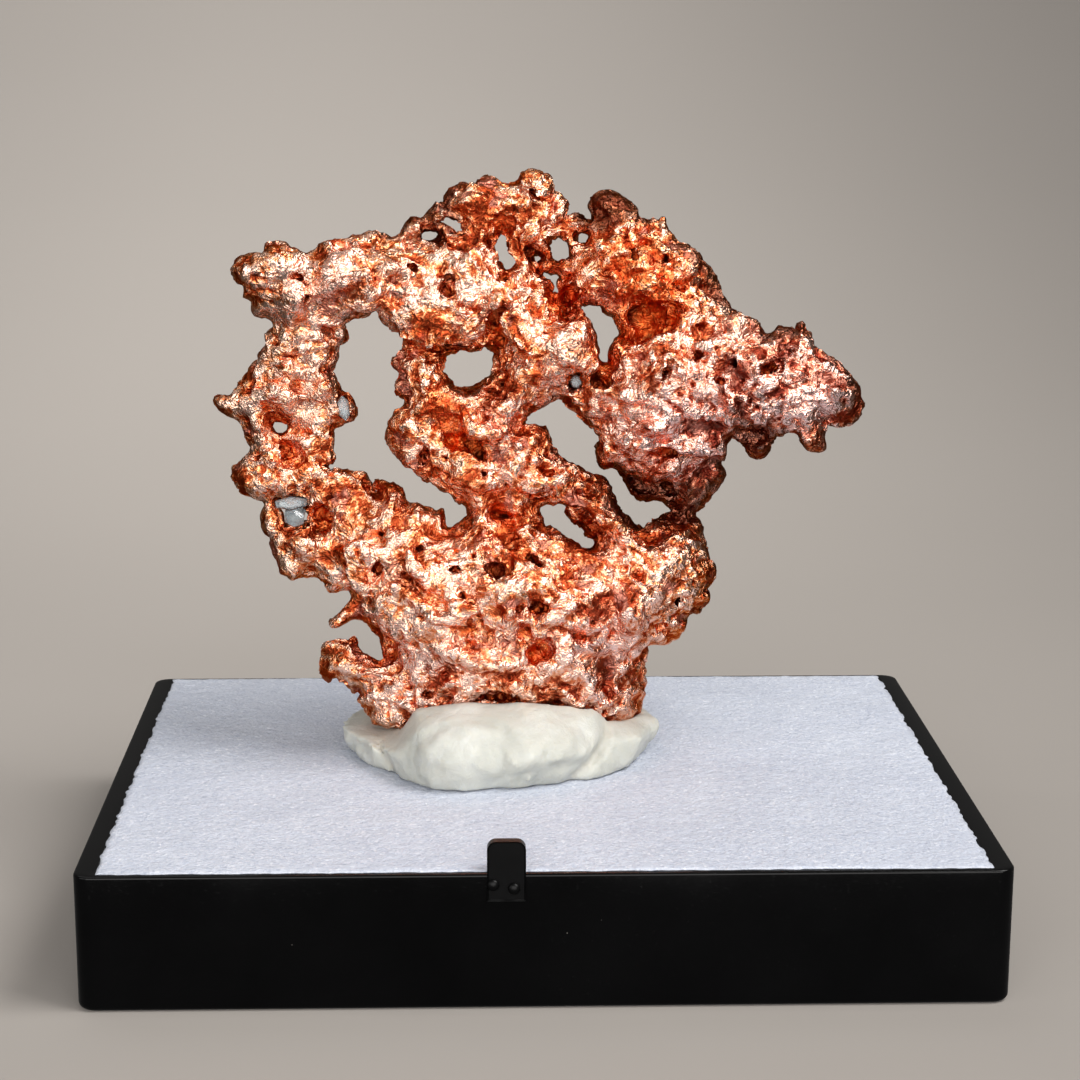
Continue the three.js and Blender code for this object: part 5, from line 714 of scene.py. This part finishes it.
def copper_field(step):
    P0 = np.array(OUTLINE[0]).reshape(-1, 2)
    xs = np.arange(P0[:, 0].min() - 1.2, P0[:, 0].max() + 1.2, step); ts = np.arange(-12.0, 12.0, step); zs = np.arange(NUGGET_FOOT - 1.5, P0[:, 1].max() + 1.2, step)
    X, Z = np.meshgrid(xs, zs, indexing="ij")
    d = outline_distance(X, Z); m, h = thickness(X, Z)
    d3, m3, h3 = (A[:, None, :].astype(np.float32) for A in (d, m, h)); T = ts[None, :, None].astype(np.float32)
    q = np.maximum(h3 - d3, 0); F = h3 - np.sqrt(q * q + (T - m3) ** 2)
    s = 2.6
    wx = xs[:, None, None] + 0.9 * noise_grid(xs / s + 7.3, ts / s, zs / s)
    wt = ts[None, :, None] + 0.6 * noise_grid(xs / s, ts / s + 5.1, zs / s)
    wz = zs[None, None, :] + 0.9 * noise_grid(xs / s, ts / s, zs / s + 3.7)
    for f in RELIEF:
        pad = 2.4
        if abs(f[0]) == 1:
            _, x, t, z, a, b, c, turn = f; r = max(a, c) + pad
            lo, hi = (x - r, t - b - pad, z - r), (x + r, t + b + pad, z + r)
        else:
            _, x0, t0, z0, x1, t1, z1, R = f; r = R + pad
            lo, hi = (min(x0, x1) - r, min(t0, t1) - r, min(z0, z1) - r), (max(x0, x1) + r, max(t0, t1) + r, max(z0, z1) + r)
        S = tuple(slice(*np.searchsorted(ax, (l, g))) for ax, l, g in zip((xs, ts, zs), lo, hi))
        if 0 in F[S].shape: continue
        px, pt, pz = wx[S], wt[S], wz[S]
        if abs(f[0]) == 1:
            px, pt, pz = px - x, pt - t, pz - z; cu, su = math.cos(turn), math.sin(turn)
            u, v = px * cu + pz * su, -px * su + pz * cu
            k0 = np.sqrt((u / a) ** 2 + (pt / b) ** 2 + (v / c) ** 2) + 1e-9; k1 = np.sqrt((u / a ** 2) ** 2 + (pt / b ** 2) ** 2 + (v / c ** 2) ** 2) + 1e-9
            g = k0 * (1 - k0) / k1
        else:
            ex, et, ez = x1 - x0, t1 - t0, z1 - z0; px, pt, pz = px - x0, pt - t0, pz - z0
            k = np.clip((px * ex + pt * et + pz * ez) / (ex * ex + et * et + ez * ez + 1e-9), 0, 1)
            g = R - np.sqrt((px - ex * k) ** 2 + (pt - et * k) ** 2 + (pz - ez * k) ** 2)
        if f[0] > 0: F[S] = smax(F[S], smin(g, d3[S[0], :, S[2]] * 1.5, 0.6), 0.5)
        else: F[S] = smin(F[S], -g, 0.35)
    e = np.clip(d3 / 1.2, 0.2, 1)
    F += e * (0.55 * noise_grid(xs / 3.1, ts / 3.1, zs / 3.1) + 0.35 * noise_grid(xs / 1.7 + 11.3, ts / 1.7, zs / 1.7 + 2.9))
    for name, group in CRYSTALS.items():
        for c in group:
            if name == "calcite_centre":  # the small crystal sits at the bottom of an open pit
                S = tuple(slice(*np.searchsorted(ax, (v - 4, v + 4))) for ax, v in zip((xs, ts, zs), c[:3]))
                px, pt, pz = xs[S[0]][:, None, None] - c[0], ts[S[1]][None, :, None] - c[1], zs[S[2]][None, None, :] - c[2]
                pit = 0.80 + 0.16 * np.maximum(-pt, 0) + 0.35 * noise_grid(xs[S[0]] / 0.9, ts[S[1]] / 0.9, zs[S[2]] / 0.9) - np.hypot(px, pz * 0.9)
                F[S] = np.minimum(F[S], np.maximum(-pit, pt - 0.4))
            S = tuple(slice(*np.searchsorted(ax, (v - 4, v + 4))) for ax, v in zip((xs, ts, zs), c[:3]))
            F[S] = np.minimum(F[S], -(crystal_value(c, xs[S[0]][:, None, None], ts[S[1]][None, :, None], zs[S[2]][None, None, :]) - 0.12))
    s3 = (PLANE_Y + ts - EYE[1]) / (PLANE_Y - EYE[1])
    foot = EYE[2] + (zs[None, :] - EYE[2]) * s3[:, None] - NUGGET_FOOT
    foot = foot[None] - (1.2 * smooth(5.0, 8.0, xs) + 1.4 * smooth(-11.5, -13.5, xs))[:, None, None]
    F = smin(F, foot.astype(np.float32), 0.8)
    F[0] = F[-1] = -step; F[:, 0] = F[:, -1] = -step; F[:, :, 0] = F[:, :, -1] = -step
    return Field(xs, ts, zs, F)

def outline_distance_at(V):
    """depth of each point inside the outline, looked up on a fine grid"""
    P0 = np.array(OUTLINE[0]).reshape(-1, 2); h = 0.25
    xs = np.arange(P0[:, 0].min() - 3, P0[:, 0].max() + 3, h); zs = np.arange(P0[:, 1].min() - 3, P0[:, 1].max() + 3, h)
    D = outline_distance(*np.meshgrid(xs, zs, indexing="ij"))
    i = np.clip(((V[:, 0] - xs[0]) / h).round().astype(int), 0, len(xs) - 1); k = np.clip(((V[:, 2] - zs[0]) / h).round().astype(int), 0, len(zs) - 1)
    return D[i, k]

def build_copper():
    step = 0.36
    fld = copper_field(step)
    V, Q = surface(fld)
    V, Q, _ = shells(V, Q, 1500)
    solid_ = (fld.F > 0).astype(np.float32)
    near = Field(np.array([fld.o[0], fld.o[0] + step]), np.array([fld.o[1]]), np.array([fld.o[2]]), blur(solid_, 2, 2)); near.o = fld.o
    far = Field(np.array([fld.o[0], fld.o[0] + step]), np.array([fld.o[1]]), np.array([fld.o[2]]), blur(solid_, 5, 2)); far.o = fld.o
    a, b = near.at(V), far.at(V)
    N = normals(V, Q)
    # fine relief: knobbly flakes with sharp valleys, pores on the hollows
    W = V + 0.75 * np.stack([noise(V, 1.9, 21.0), noise(V, 1.9, 22.0), noise(V, 1.9, 23.0)], 1)
    lean = noise(V, 6.5, 41.0) * 1.6 + noise(V, 3.0, 42.0) * 0.8
    def folds(size, seed, stretch):
        """noise drawn out along a few directions, one of them ruling in each patch"""
        tot, wsum = 0.0, 0.0
        for i, deg in enumerate((25, 85, 145)):
            c, s = math.cos(math.radians(deg)), math.sin(math.radians(deg))
            K = np.stack([(W[:, 0] * c + W[:, 2] * s) / stretch, W[:, 1], -W[:, 0] * s + W[:, 2] * c], 1)
            w = np.exp(-((lean - (i - 1) * 0.7) / 0.35) ** 2) + 1e-3
            tot = tot + w * noise(K, size, seed + i); wsum = wsum + w
        return tot / wsum
    n1, n2, n3 = folds(2.0, 11.0, 2.0), folds(1.05, 15.0, 1.8), noise(V, 0.6, 13.0)
    e1, e2, o2, r2 = cells(W, 1.15, 8.0)
    f1, f2, o3, r3 = cells(V, 1.25, 5.0)
    calm = smooth(0.05, 0.45, noise(V, 5.0, 31.0))
    for x, z, r, k in CALM: calm = np.maximum(calm, k * np.exp(-((V[:, 0] - x) ** 2 + (V[:, 2] - z) ** 2) / (2 * r * r)))
    rough = 1 - 0.7 * calm
    out = 0.55 * (0.42 - np.abs(n1) * 1.5) + rough * (0.26 * (0.40 - np.abs(n2) * 1.5) + 0.50 * ((r2 - 0.5) * o2).sum(1) + 0.34 * (0.45 - e1) + 0.06 * n3)
    crease = smooth(0.12, 0.0, e2 - e1) * rough
    pore = smooth(0.40, 0.15, f1) * (r3[:, 0] > 0.93)
    out = out - 0.16 * crease - 0.60 * pore
    zone = lambda L: sum(k * np.exp(-((V[:, 0] - x) ** 2 + (V[:, 2] - z) ** 2) / (2 * r * r)) for x, z, r, k in L)
    d = outline_distance_at(V)
    # painted edge shade: colour darker and less pale towards the outline
    painted_edge_shade = smooth(1.0, 0.1, d) * np.clip(0.75 + 0.5 * noise(V, 4.0, 51.0), 0.2, 1)
    # crest: real polish on worn crests plus painted highlight patches, lowered where painted bounce red and painted
    # edge shade go
    crest_polish_and_highlight = np.clip(0.5 + (out - np.median(out)) / (3.6 * out.std()) + 0.30 * zone(PAINTED_HIGHLIGHTS) - 0.36 * np.clip(zone(PAINTED_BOUNCE_RED), 0, 1) - 0.22 * painted_edge_shade, 0, 1)
    edge = np.clip(a * 2, 0.3, 1)
    V2 = V + N * (out * edge)[:, None]
    P = to_space(V2)
    # pit: near-black in tight spots, pores, creases and low relief: partly dark oxide, partly painted crevice shade
    pit = np.clip((a - 0.46) / 0.30, 0, 1) * 0.7 + 0.5 * pore + 0.30 * crease + np.clip(-out - 0.12, 0, 0.5)
    # broad hollows turn deep red: partly oxide, partly painted bounce light
    hollow_oxide_and_bounce = np.clip((b - 0.46) / 0.30, 0, 1)
    rose = np.zeros(len(V)); painted_shade = np.zeros(len(V))
    for x, z, r, k in ROSE: rose += k * np.exp(-((V[:, 0] - x) ** 2 + (V[:, 2] - z) ** 2) / (2 * r * r))
    # painted shade: listed spots push the colour dark
    for x, t, z, r, k in PAINTED_SHADE_SPOTS:  # the strongest go right through
        deep = 0.3 if k > 0.92 else 1.0
        painted_shade += k * np.exp(-((V[:, 0] - x) ** 2 + (deep * (V[:, 1] - t)) ** 2 + (V[:, 2] - z) ** 2) / (2 * r * r))
    # the painted edge shade also darkens the colour through the painted shade
    painted_shade = painted_shade + 0.42 * painted_edge_shade
    ob = mesh_object("copper", P, Q, MAT["copper"], {"pit": pit, "hollow_oxide_and_bounce": hollow_oxide_and_bounce, "rose": np.clip(rose, 0, 1), "painted_shade": np.clip(painted_shade, 0, 1), "crest_polish_and_highlight": crest_polish_and_highlight, "painted_bounce_red": np.clip(zone(PAINTED_BOUNCE_RED), 0, 1)}, sharp=34)
    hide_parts("copper_nugget")
    print("copper quads", len(Q))
    return fld
ROSE = [(22.1, 50.23, 4.96, 0.8), (29.04, 49.23, 4.47, 0.8), (12.31, 45.27, 3.97, 0.7), (16.32, 42.25, 3.97, 0.7), (-8.51, 17.77, 4.47, 0.6), (6.6, 18.73, 4.96, 0.6), (7.55, 25.99, 2.98, 0.5), (-4.45, 45.81, 2.58, 0.7), (-18.97, 60.59, 2.98, 0.4)]
CALM = [(-13.1, 45.14, 1.59, 0.9), (-4.45, 46.31, 2.18, 0.5), (-6.83, 39.81, 1.19, 0.9), (-12.96, 26.4, 3.38, 0.9), (-9.46, 27.1, 2.38, 0.8), (9.05, 26.29, 2.58, 1.0), (-17.53, 60.1, 3.38, 0.7), (11.82, 45.47, 1.99, 1.0), (-2.67, 29.12, 1.99, 0.9), (20.23, 54.98, 2.18, 0.8), (5.35, 53.23, 1.99, 0.6), (29.85, 48.73, 1.99, 0.6), (27.39, 44.23, 1.39, 0.9), (-10.76, 58.15, 1.99, 0.5), (5.5, 31.14, 1.99, 0.5), (0.95, 50.67, 1.39, 0.9), (-5.48, 20.88, 2.38, 0.5)]
# painted bounce light: patches of vivid orange-red
PAINTED_BOUNCE_RED = [(11.18, 57.35, 2.78, 1.0), (8.68, 62.52, 1.79, 0.6), (11.61, 61.84, 1.59, 0.5), (2.58, 58.14, 1.39, 1.0), (-6.72, 43.72, 1.99, 1.0), (-8.58, 46.32, 1.39, 0.9), (8.28, 53.72, 1.19, 0.4), (-3.46, 54.72, 1.79, 0.5), (-8.15, 54.23, 1.79, 0.4), (-11.75, 54.73, 1.19, 0.6), (-0.56, 68.79, 1.39, 0.4), (-6.36, 66.38, 1.79, 0.35), (-3.46, 65.42, 1.39, 0.5), (-13.24, 51.29, 1.39, 0.45), (-9.35, 48.81, 1.19, 0.45), (0.51, 32.18, 2.58, 0.3), (5.45, 38.25, 2.18, 0.35), (-3.47, 17.53, 1.79, 0.5), (-10.01, 18.2, 1.19, 0.5), (11.99, 31.62, 1.59, 0.3), (-1.52, 63.0, 1.19, 0.4), (5.27, 64.45, 1.19, 0.4)]
# painted highlights: patches where the crest colour is pushed pale
PAINTED_HIGHLIGHTS = [(-18.01, 60.1, 3.97, 1.0), (-22.88, 58.16, 2.18, 0.7), (-10.75, 59.12, 2.98, 0.8), (-6.37, 61.07, 2.58, 0.6), (0.93, 54.71, 2.38, 0.9), (-1.51, 58.14, 2.18, 0.7), (0.95, 50.67, 1.39, 0.9), (8.52, 49.76, 1.39, 0.9), (11.76, 49.76, 3.57, 0.9), (10.34, 45.28, 2.18, 0.8), (16.11, 55.18, 2.38, 0.5), (26.11, 47.74, 2.58, 0.8), (20.71, 45.75, 1.59, 0.4), (-10.37, 41.83, 1.79, 0.7), (-4.65, 45.81, 1.79, 0.5), (-3.47, 41.31, 1.99, 0.4), (-22.96, 53.76, 2.38, 0.6), (-25.0, 48.34, 2.98, 0.7), (-25.59, 43.37, 2.38, 0.5), (-9.47, 26.07, 2.38, 0.7), (-2.47, 30.15, 1.19, 0.9), (-7.99, 20.89, 3.38, 0.6), (2.57, 18.75, 3.18, 0.8), (-12.53, 17.8, 2.98, 0.7), (-13.41, 32.24, 2.98, 0.6), (-19.35, 33.28, 2.58, 0.6), (-15.45, 27.13, 2.38, 0.5), (6.54, 25.99, 1.99, 0.6), (11.49, 32.13, 2.18, 0.4), (2.34, 66.87, 1.39, 0.4), (12.07, 64.45, 1.59, 0.4)]
# painted shade: spots where the colour is pushed to dark brown
PAINTED_SHADE_SPOTS = [(16.01, 0, 61.06, 2.98, 0.7), (19.01, 0, 57.14, 2.18, 0.6), (13.39, 2, 39.24, 3.77, 0.9), (16.4, 3, 37.2, 2.98, 0.8), (10.39, 1, 40.46, 2.58, 0.7), (21.94, -1, 44.05, 1.69, 1.5), (27.49, -1, 44.23, 1.19, 1.3), (21.35, -2, 48.44, 1.49, 1.1), (23.49, -1, 54.19, 1.79, 1.0), (28.18, -1, 51.71, 1.19, 0.95), (31.54, -1, 48.22, 1.49, 1.0), (19.71, -1, 46.25, 1.29, 1.0), (17.54, 2, 29.03, 2.58, 0.7), (16.62, 2, 23.87, 2.58, 0.5), (-11.19, 2, 65.42, 2.38, 0.7), (-7.8, 2, 68.78, 1.79, 0.8), (7.37, 1, 67.54, 1.69, 1.3), (5.73, 1, 66.67, 1.19, 1.1), (15.02, 1, 61.83, 1.39, 0.8), (10.1, 1, 66.39, 1.39, 0.8), (-26.12, 2, 41.37, 1.79, 0.4), (-20.56, 0, 17.84, 1.99, 0.4), (-12.82, -1, 43.54, 1.19, 0.6), (-23.15, 0, 42.17, 1.19, 0.5), (-29.09, 0, 61.85, 1.39, 0.5)]
copper = build_copper()

# ------------------------------------------------------------------ putty
def build_putty():
    step = 0.4
    xs = np.arange(-20.5, 13.5, step); ys = np.arange(-12.5, 19.0, step); zs = np.arange(PUTTY_BASE - 1.2, PUTTY_TOP + 1.6, step)
    X, Y, Z = np.meshgrid(xs, ys, zs, indexing="ij")
    dx, dy = X - PUTTY_C[0], Y - PUTTY_C[1]; n = len(PUTTY_PLAN); plan = np.array(PUTTY_PLAN)
    ang = ((np.arctan2(dy, dx) / (2 * math.pi) + 1) % 1) * n; i = np.floor(ang).astype(int); f = ang - i; f = f * f * (3 - 2 * f)
    r = np.hypot(dx, dy) / (plan[i % n] * (1 - f) + plan[(i + 1) % n] * f)
    top = PUTTY_TOP - 4.7 * smooth(-11.2, -14.4, X) - 3.0 * smooth(5.2, 8.4, X)
    zc = PUTTY_BASE + 2.4; v = np.where(Z > zc, (Z - zc) / (top - zc), (zc - Z) / (zc - PUTTY_BASE + 4))
    k = (r ** 2.4 + v ** 2.4) ** (1 / 2.4)
    F = (1 - k) * 8 + 0.35 * noise_grid(xs / 4.1, ys / 4.1 + 9.2, zs / 4.1)
    F = F + 0.34 * np.abs(noise_grid(xs / 3.1 + 3.3, ys / 3.1, zs / 2.3 + 1.2)) - 0.26 * np.abs(noise_grid(xs / 1.5 + 3.3, ys / 1.5, zs / 1.5)) + 0.12 * noise_grid(xs / 0.8, ys / 0.8 + 4.0, zs / 0.8)
    crease = np.zeros_like(F); cut = np.zeros_like(F)
    for (x0, z0), (x1, z1), w, dep in PUTTY_CREASES:
        ex, ez = x1 - x0, z1 - z0
        q = np.clip(((X - x0) * ex + (Z - z0) * ez) / (ex * ex + ez * ez), 0, 1)
        q = np.hypot(X - x0 - ex * q, Z - z0 - ez * q)
        g = np.exp(-(q / w) ** 2) * smooth(6.0, 2.0, Y); cut = np.maximum(cut, dep * g); crease = np.maximum(crease, dep / 0.6 * np.exp(-(q / (0.6 * w)) ** 2))
    F = F - cut
    F = np.minimum(F, Z - PUTTY_BASE + 0.25)
    P = np.stack([X, Y, Z], -1).reshape(-1, 3)
    C = copper.at(to_sheaf(P)).reshape(X.shape)
    F = smin(F, -(C + 0.03), 0.25)
    F[0] = F[-1] = -step; F[:, 0] = F[:, -1] = -step; F[:, :, 0] = F[:, :, -1] = -step
    fld = Field(xs, ys, zs, F)
    V, Q = surface(fld)
    V, Q, _ = shells(V, Q, 1500)
    V = relax(V, Q, 0.4, 2)
    cf = Field(xs, ys, zs, crease)
    ob = mesh_object("putty_blob", V, Q, MAT["putty"], {"crease": cf.at(V)})
    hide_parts("putty")
    print("putty quads", len(Q))
PUTTY_CREASES = [((7.33, 18.3), (6.56, 16.15), 0.55, 0.55), ((6.56, 16.15), (5.29, 14.62), 0.55, 0.55), ((5.29, 14.62), (3.33, 13.2), 0.55, 0.55), ((3.33, 13.2), (2.35, 10.93), 0.55, 0.55), ((-16.14, 17.02), (-15.28, 15.17), 0.6, 0.6), ((-15.28, 15.17), (-14.12, 13.21), 0.6, 0.6), ((-9.68, 15.34), (-8.31, 13.28), 0.8, 0.16), ((-8.31, 13.28), (-8.72, 10.81), 0.8, 0.16), ((-3.58, 17.34), (2.32, 17.1), 0.7, 0.14), ((2.32, 17.1), (5.87, 16.47), 0.7, 0.14), ((-12.21, 18.01), (-13.02, 15.77), 0.7, 0.15)]
build_putty()

# ------------------------------------------------------------------ foam
def build_foam():
    w, l, z0, top = TRAY_W / 2 - WALL - 0.06, TRAY_L / 2 - WALL_END - 0.06, FLOOR + GAP, FOAM_TOP
    nx, ny = 248, 196
    u = np.linspace(-1, 1, nx); v = np.linspace(-1, 1, ny)
    X, Y = np.meshgrid(u * (w + 0.12), v * (l + 0.35), indexing="ij")
    P = np.stack([X.ravel(), Y.ravel(), np.zeros(nx * ny)], 1)
    edge = np.minimum(w + 0.12 - np.abs(P[:, 0]), l + 0.35 - np.abs(P[:, 1]))
    d1 = cells(P, 0.55, 4.0)[0]
    Z = top + 0.02 + 0.10 * noise(P, 6.0, 1.0) + 0.05 * noise(P, 1.1, 2.0) + 0.10 * (0.45 - d1) + 0.05
    Z = np.where(edge < 0.7, np.maximum(Z - 0.12 * smooth(0.5, 0.0, edge), TRAY_H + 0.05), Z)
    rag = 0.22 * noise(P, 0.8, 7.0) + 0.16 * noise(P, 2.4, 9.0)
    kx = smooth(0.8, 0.0, w + 0.12 - np.abs(P[:, 0])); ky = smooth(0.8, 0.0, l + 0.35 - np.abs(P[:, 1]))
    P[:, 0] += np.sign(P[:, 0]) * rag * kx; P[:, 1] += np.sign(P[:, 1]) * rag * 0.4 * ky
    P[:, 2] = Z
    I = np.arange(nx * ny).reshape(nx, ny)
    F = [np.stack([I[:-1, :-1], I[1:, :-1], I[1:, 1:], I[:-1, 1:]], -1).reshape(-1, 4)]
    rim = np.concatenate([I[:, 0], I[-1, 1:], I[-2::-1, -1], I[0, -2:0:-1]])
    V = [P]; prev = rim; n = len(rim); base = nx * ny
    E = np.stack([X.ravel()[rim], Y.ravel()[rim]], 1)
    for z, k in ((TRAY_H + 0.02, None), (TRAY_H + 0.01, 0.10), (top - 1.2, 0.04), (7.0, 0.06), (z0, 0.10)):
        R = P[rim].copy(); R[:, 2] = z
        if k is not None: R[:, 0] = np.clip(E[:, 0], -w + k, w - k); R[:, 1] = np.clip(E[:, 1], -l + k, l - k)
        V.append(R)
        cur = base + np.arange(n); base += n
        F.append(np.stack([prev, cur, np.roll(cur, -1), np.roll(prev, -1)], 1)); prev = cur
    V = np.concatenate(V); F = np.concatenate(F)
    faces = [tuple(map(int, f)) for f in F] + [tuple(int(i) for i in prev[::-1])]
    ob = mesh_object("foam_pad", V, faces, MAT["foam"])
    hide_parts("foam_insert")
build_foam()

# ------------------------------------------------------------------ calcite
def build_crystals():
    import bmesh
    for node, group in CRYSTALS.items():
        bm = bmesh.new()
        for c in group:
            cx, ct, cz, a, b, h, turn, lean = c
            V = []
            n = 6
            for s, (y, k) in enumerate(((-1, 0.72), (-0.72, 1.0), (0.72, 1.0), (1, 0.8))):
                for j in range(n):
                    q = math.pi / 6 + 2 * math.pi * j / n
                    V.append((math.cos(q) * k * (1 + 0.05 * math.sin(3 * j + s)), y, math.sin(q) * k))
            V = np.array(V) * (a, b, h * 1.1)
            cl, sl = math.cos(-lean), math.sin(-lean); V = np.stack([V[:, 0], V[:, 1] * cl - V[:, 2] * sl, V[:, 1] * sl + V[:, 2] * cl], 1)
            ct_, st_ = math.cos(-turn), math.sin(-turn); V = np.stack([V[:, 0] * ct_ + V[:, 2] * st_, V[:, 1], -V[:, 0] * st_ + V[:, 2] * ct_], 1)
            V = V + to_space(np.array([[cx, ct, cz]]))[0]
            vs = [bm.verts.new(tuple(p * MM)) for p in V]
            for s in range(3):
                for j in range(n): bm.faces.new((vs[s * n + j], vs[s * n + (j + 1) % n], vs[(s + 1) * n + (j + 1) % n], vs[(s + 1) * n + j]))
            bm.faces.new([vs[j] for j in range(n)][::-1]); bm.faces.new([vs[3 * n + j] for j in range(n)])
        bmesh.ops.recalc_face_normals(bm, faces=bm.faces)
        bmesh.ops.bevel(bm, geom=list(bm.edges), offset=0.00006, segments=2, affect="EDGES")
        me = bpy.data.meshes.new(node + "_crystal"); bm.to_mesh(me); bm.free()
        me.materials.append(MAT["calcite"])
        ob = bpy.data.objects.new(node + "_crystal", me); bpy.context.scene.collection.objects.link(ob)
        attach(ob, "root"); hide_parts(node)
build_crystals()

# ------------------------------------------------------------------ stage and light
def stage():
    # painted pool of light on plain paper: palest a hand's breadth behind the box, falling off to the sides and up the
    # sweep
    m = Nodes("backdrop")
    paper = m.ramp(m.noise(180, 2, 0.5), [(0.3, (0.325, 0.299, 0.276)), (0.7, (0.341, 0.314, 0.290))])
    at = m.t.nodes.new("ShaderNodeTexCoord"); xyz = m.t.nodes.new("ShaderNodeSeparateXYZ"); m.link(at.outputs["Object"], xyz.inputs[0])
    gx = m.math("DIVIDE", m.math("ADD", xyz.outputs[0], 0.03), 0.145); gy = m.math("DIVIDE", m.math("SUBTRACT", xyz.outputs[1], 0.20), 0.33)
    painted_light_pool = m.math("EXPONENT", m.math("MULTIPLY", m.math("ADD", m.math("MULTIPLY", gx, gx), m.math("MULTIPLY", gy, gy)), -1.0))
    scale = m.t.nodes.new("ShaderNodeVectorMath"); scale.operation = "SCALE"
    m.link(paper, scale.inputs[0]); m.link(m.math("MULTIPLY_ADD", painted_light_pool, 0.8, 0.5), scale.inputs["Scale"])
    m.link(scale.outputs[0], m.b.inputs["Base Color"])
    m.set(Roughness=0.8)
    V, F = [], []
    prof = [(-1.2, 0.0), (0.12, 0.0)]
    for s in range(1, 25):
        t = s / 24 * math.pi / 2; prof.append((0.12 + 0.55 * math.sin(t), 0.55 * (1 - math.cos(t))))
    prof.append((0.67, 1.6))
    for x in (-1.6, 1.6):
        for y, z in prof: V.append((x / MM, y / MM, z / MM))
    n = len(prof)
    for i in range(n - 1): F.append((i, n + i, n + i + 1, i + 1))
    me = bpy.data.meshes.new("floor"); me.from_pydata([tuple(c * MM for c in v) for v in V], [], F); me.update()
    for p in me.polygons: p.use_smooth = True
    me.materials.append(m.mat)
    ob = bpy.data.objects.new("floor", me); bpy.context.scene.collection.objects.link(ob)
    ob.visible_glossy = False

def area(name, at, target, size, power, color=(1, 1, 1)):
    L = bpy.data.lights.new(name, "AREA"); L.shape = "RECTANGLE"; L.size, L.size_y = size; L.energy = power; L.color = color
    ob = bpy.data.objects.new(name, L); bpy.context.scene.collection.objects.link(ob)
    d = Vector(target) - Vector(at)
    ob.matrix_world = Matrix.Translation(at) @ d.to_track_quat("-Z", "Y").to_matrix().to_4x4()
    return ob

stage()
area("key", (0.32, -0.14, 0.50), (0.0, 0.0, 0.03), (0.32, 0.30), 3.4, (1.0, 0.985, 0.96))
area("front", (0.02, -0.80, 0.28), (0.0, 0.0, 0.045), (1.15, 0.70), 9.6, (1.0, 0.98, 0.96))
area("back", (-0.14, 0.26, 0.52), (0.0, 0.0, 0.03), (0.50, 0.36), 0.55, (1.0, 0.99, 0.97))
area("left", (-0.52, -0.34, 0.24), (0.0, 0.0, 0.05), (0.40, 0.34), 0.75, (1.0, 0.985, 0.97))
area("backdrop", (-0.50, 0.18, 0.13), (-0.30, 0.75, 0.02), (0.22, 0.22), 2.7, (1.0, 0.99, 0.97))
world = bpy.data.worlds.new("World"); bpy.context.scene.world = world; world.use_nodes = True
bg = world.node_tree.nodes["Background"]; bg.inputs["Color"].default_value = (1.0, 0.97, 0.94, 1); bg.inputs["Strength"].default_value = 0.11
bpy.context.scene.view_settings.view_transform = "Standard"
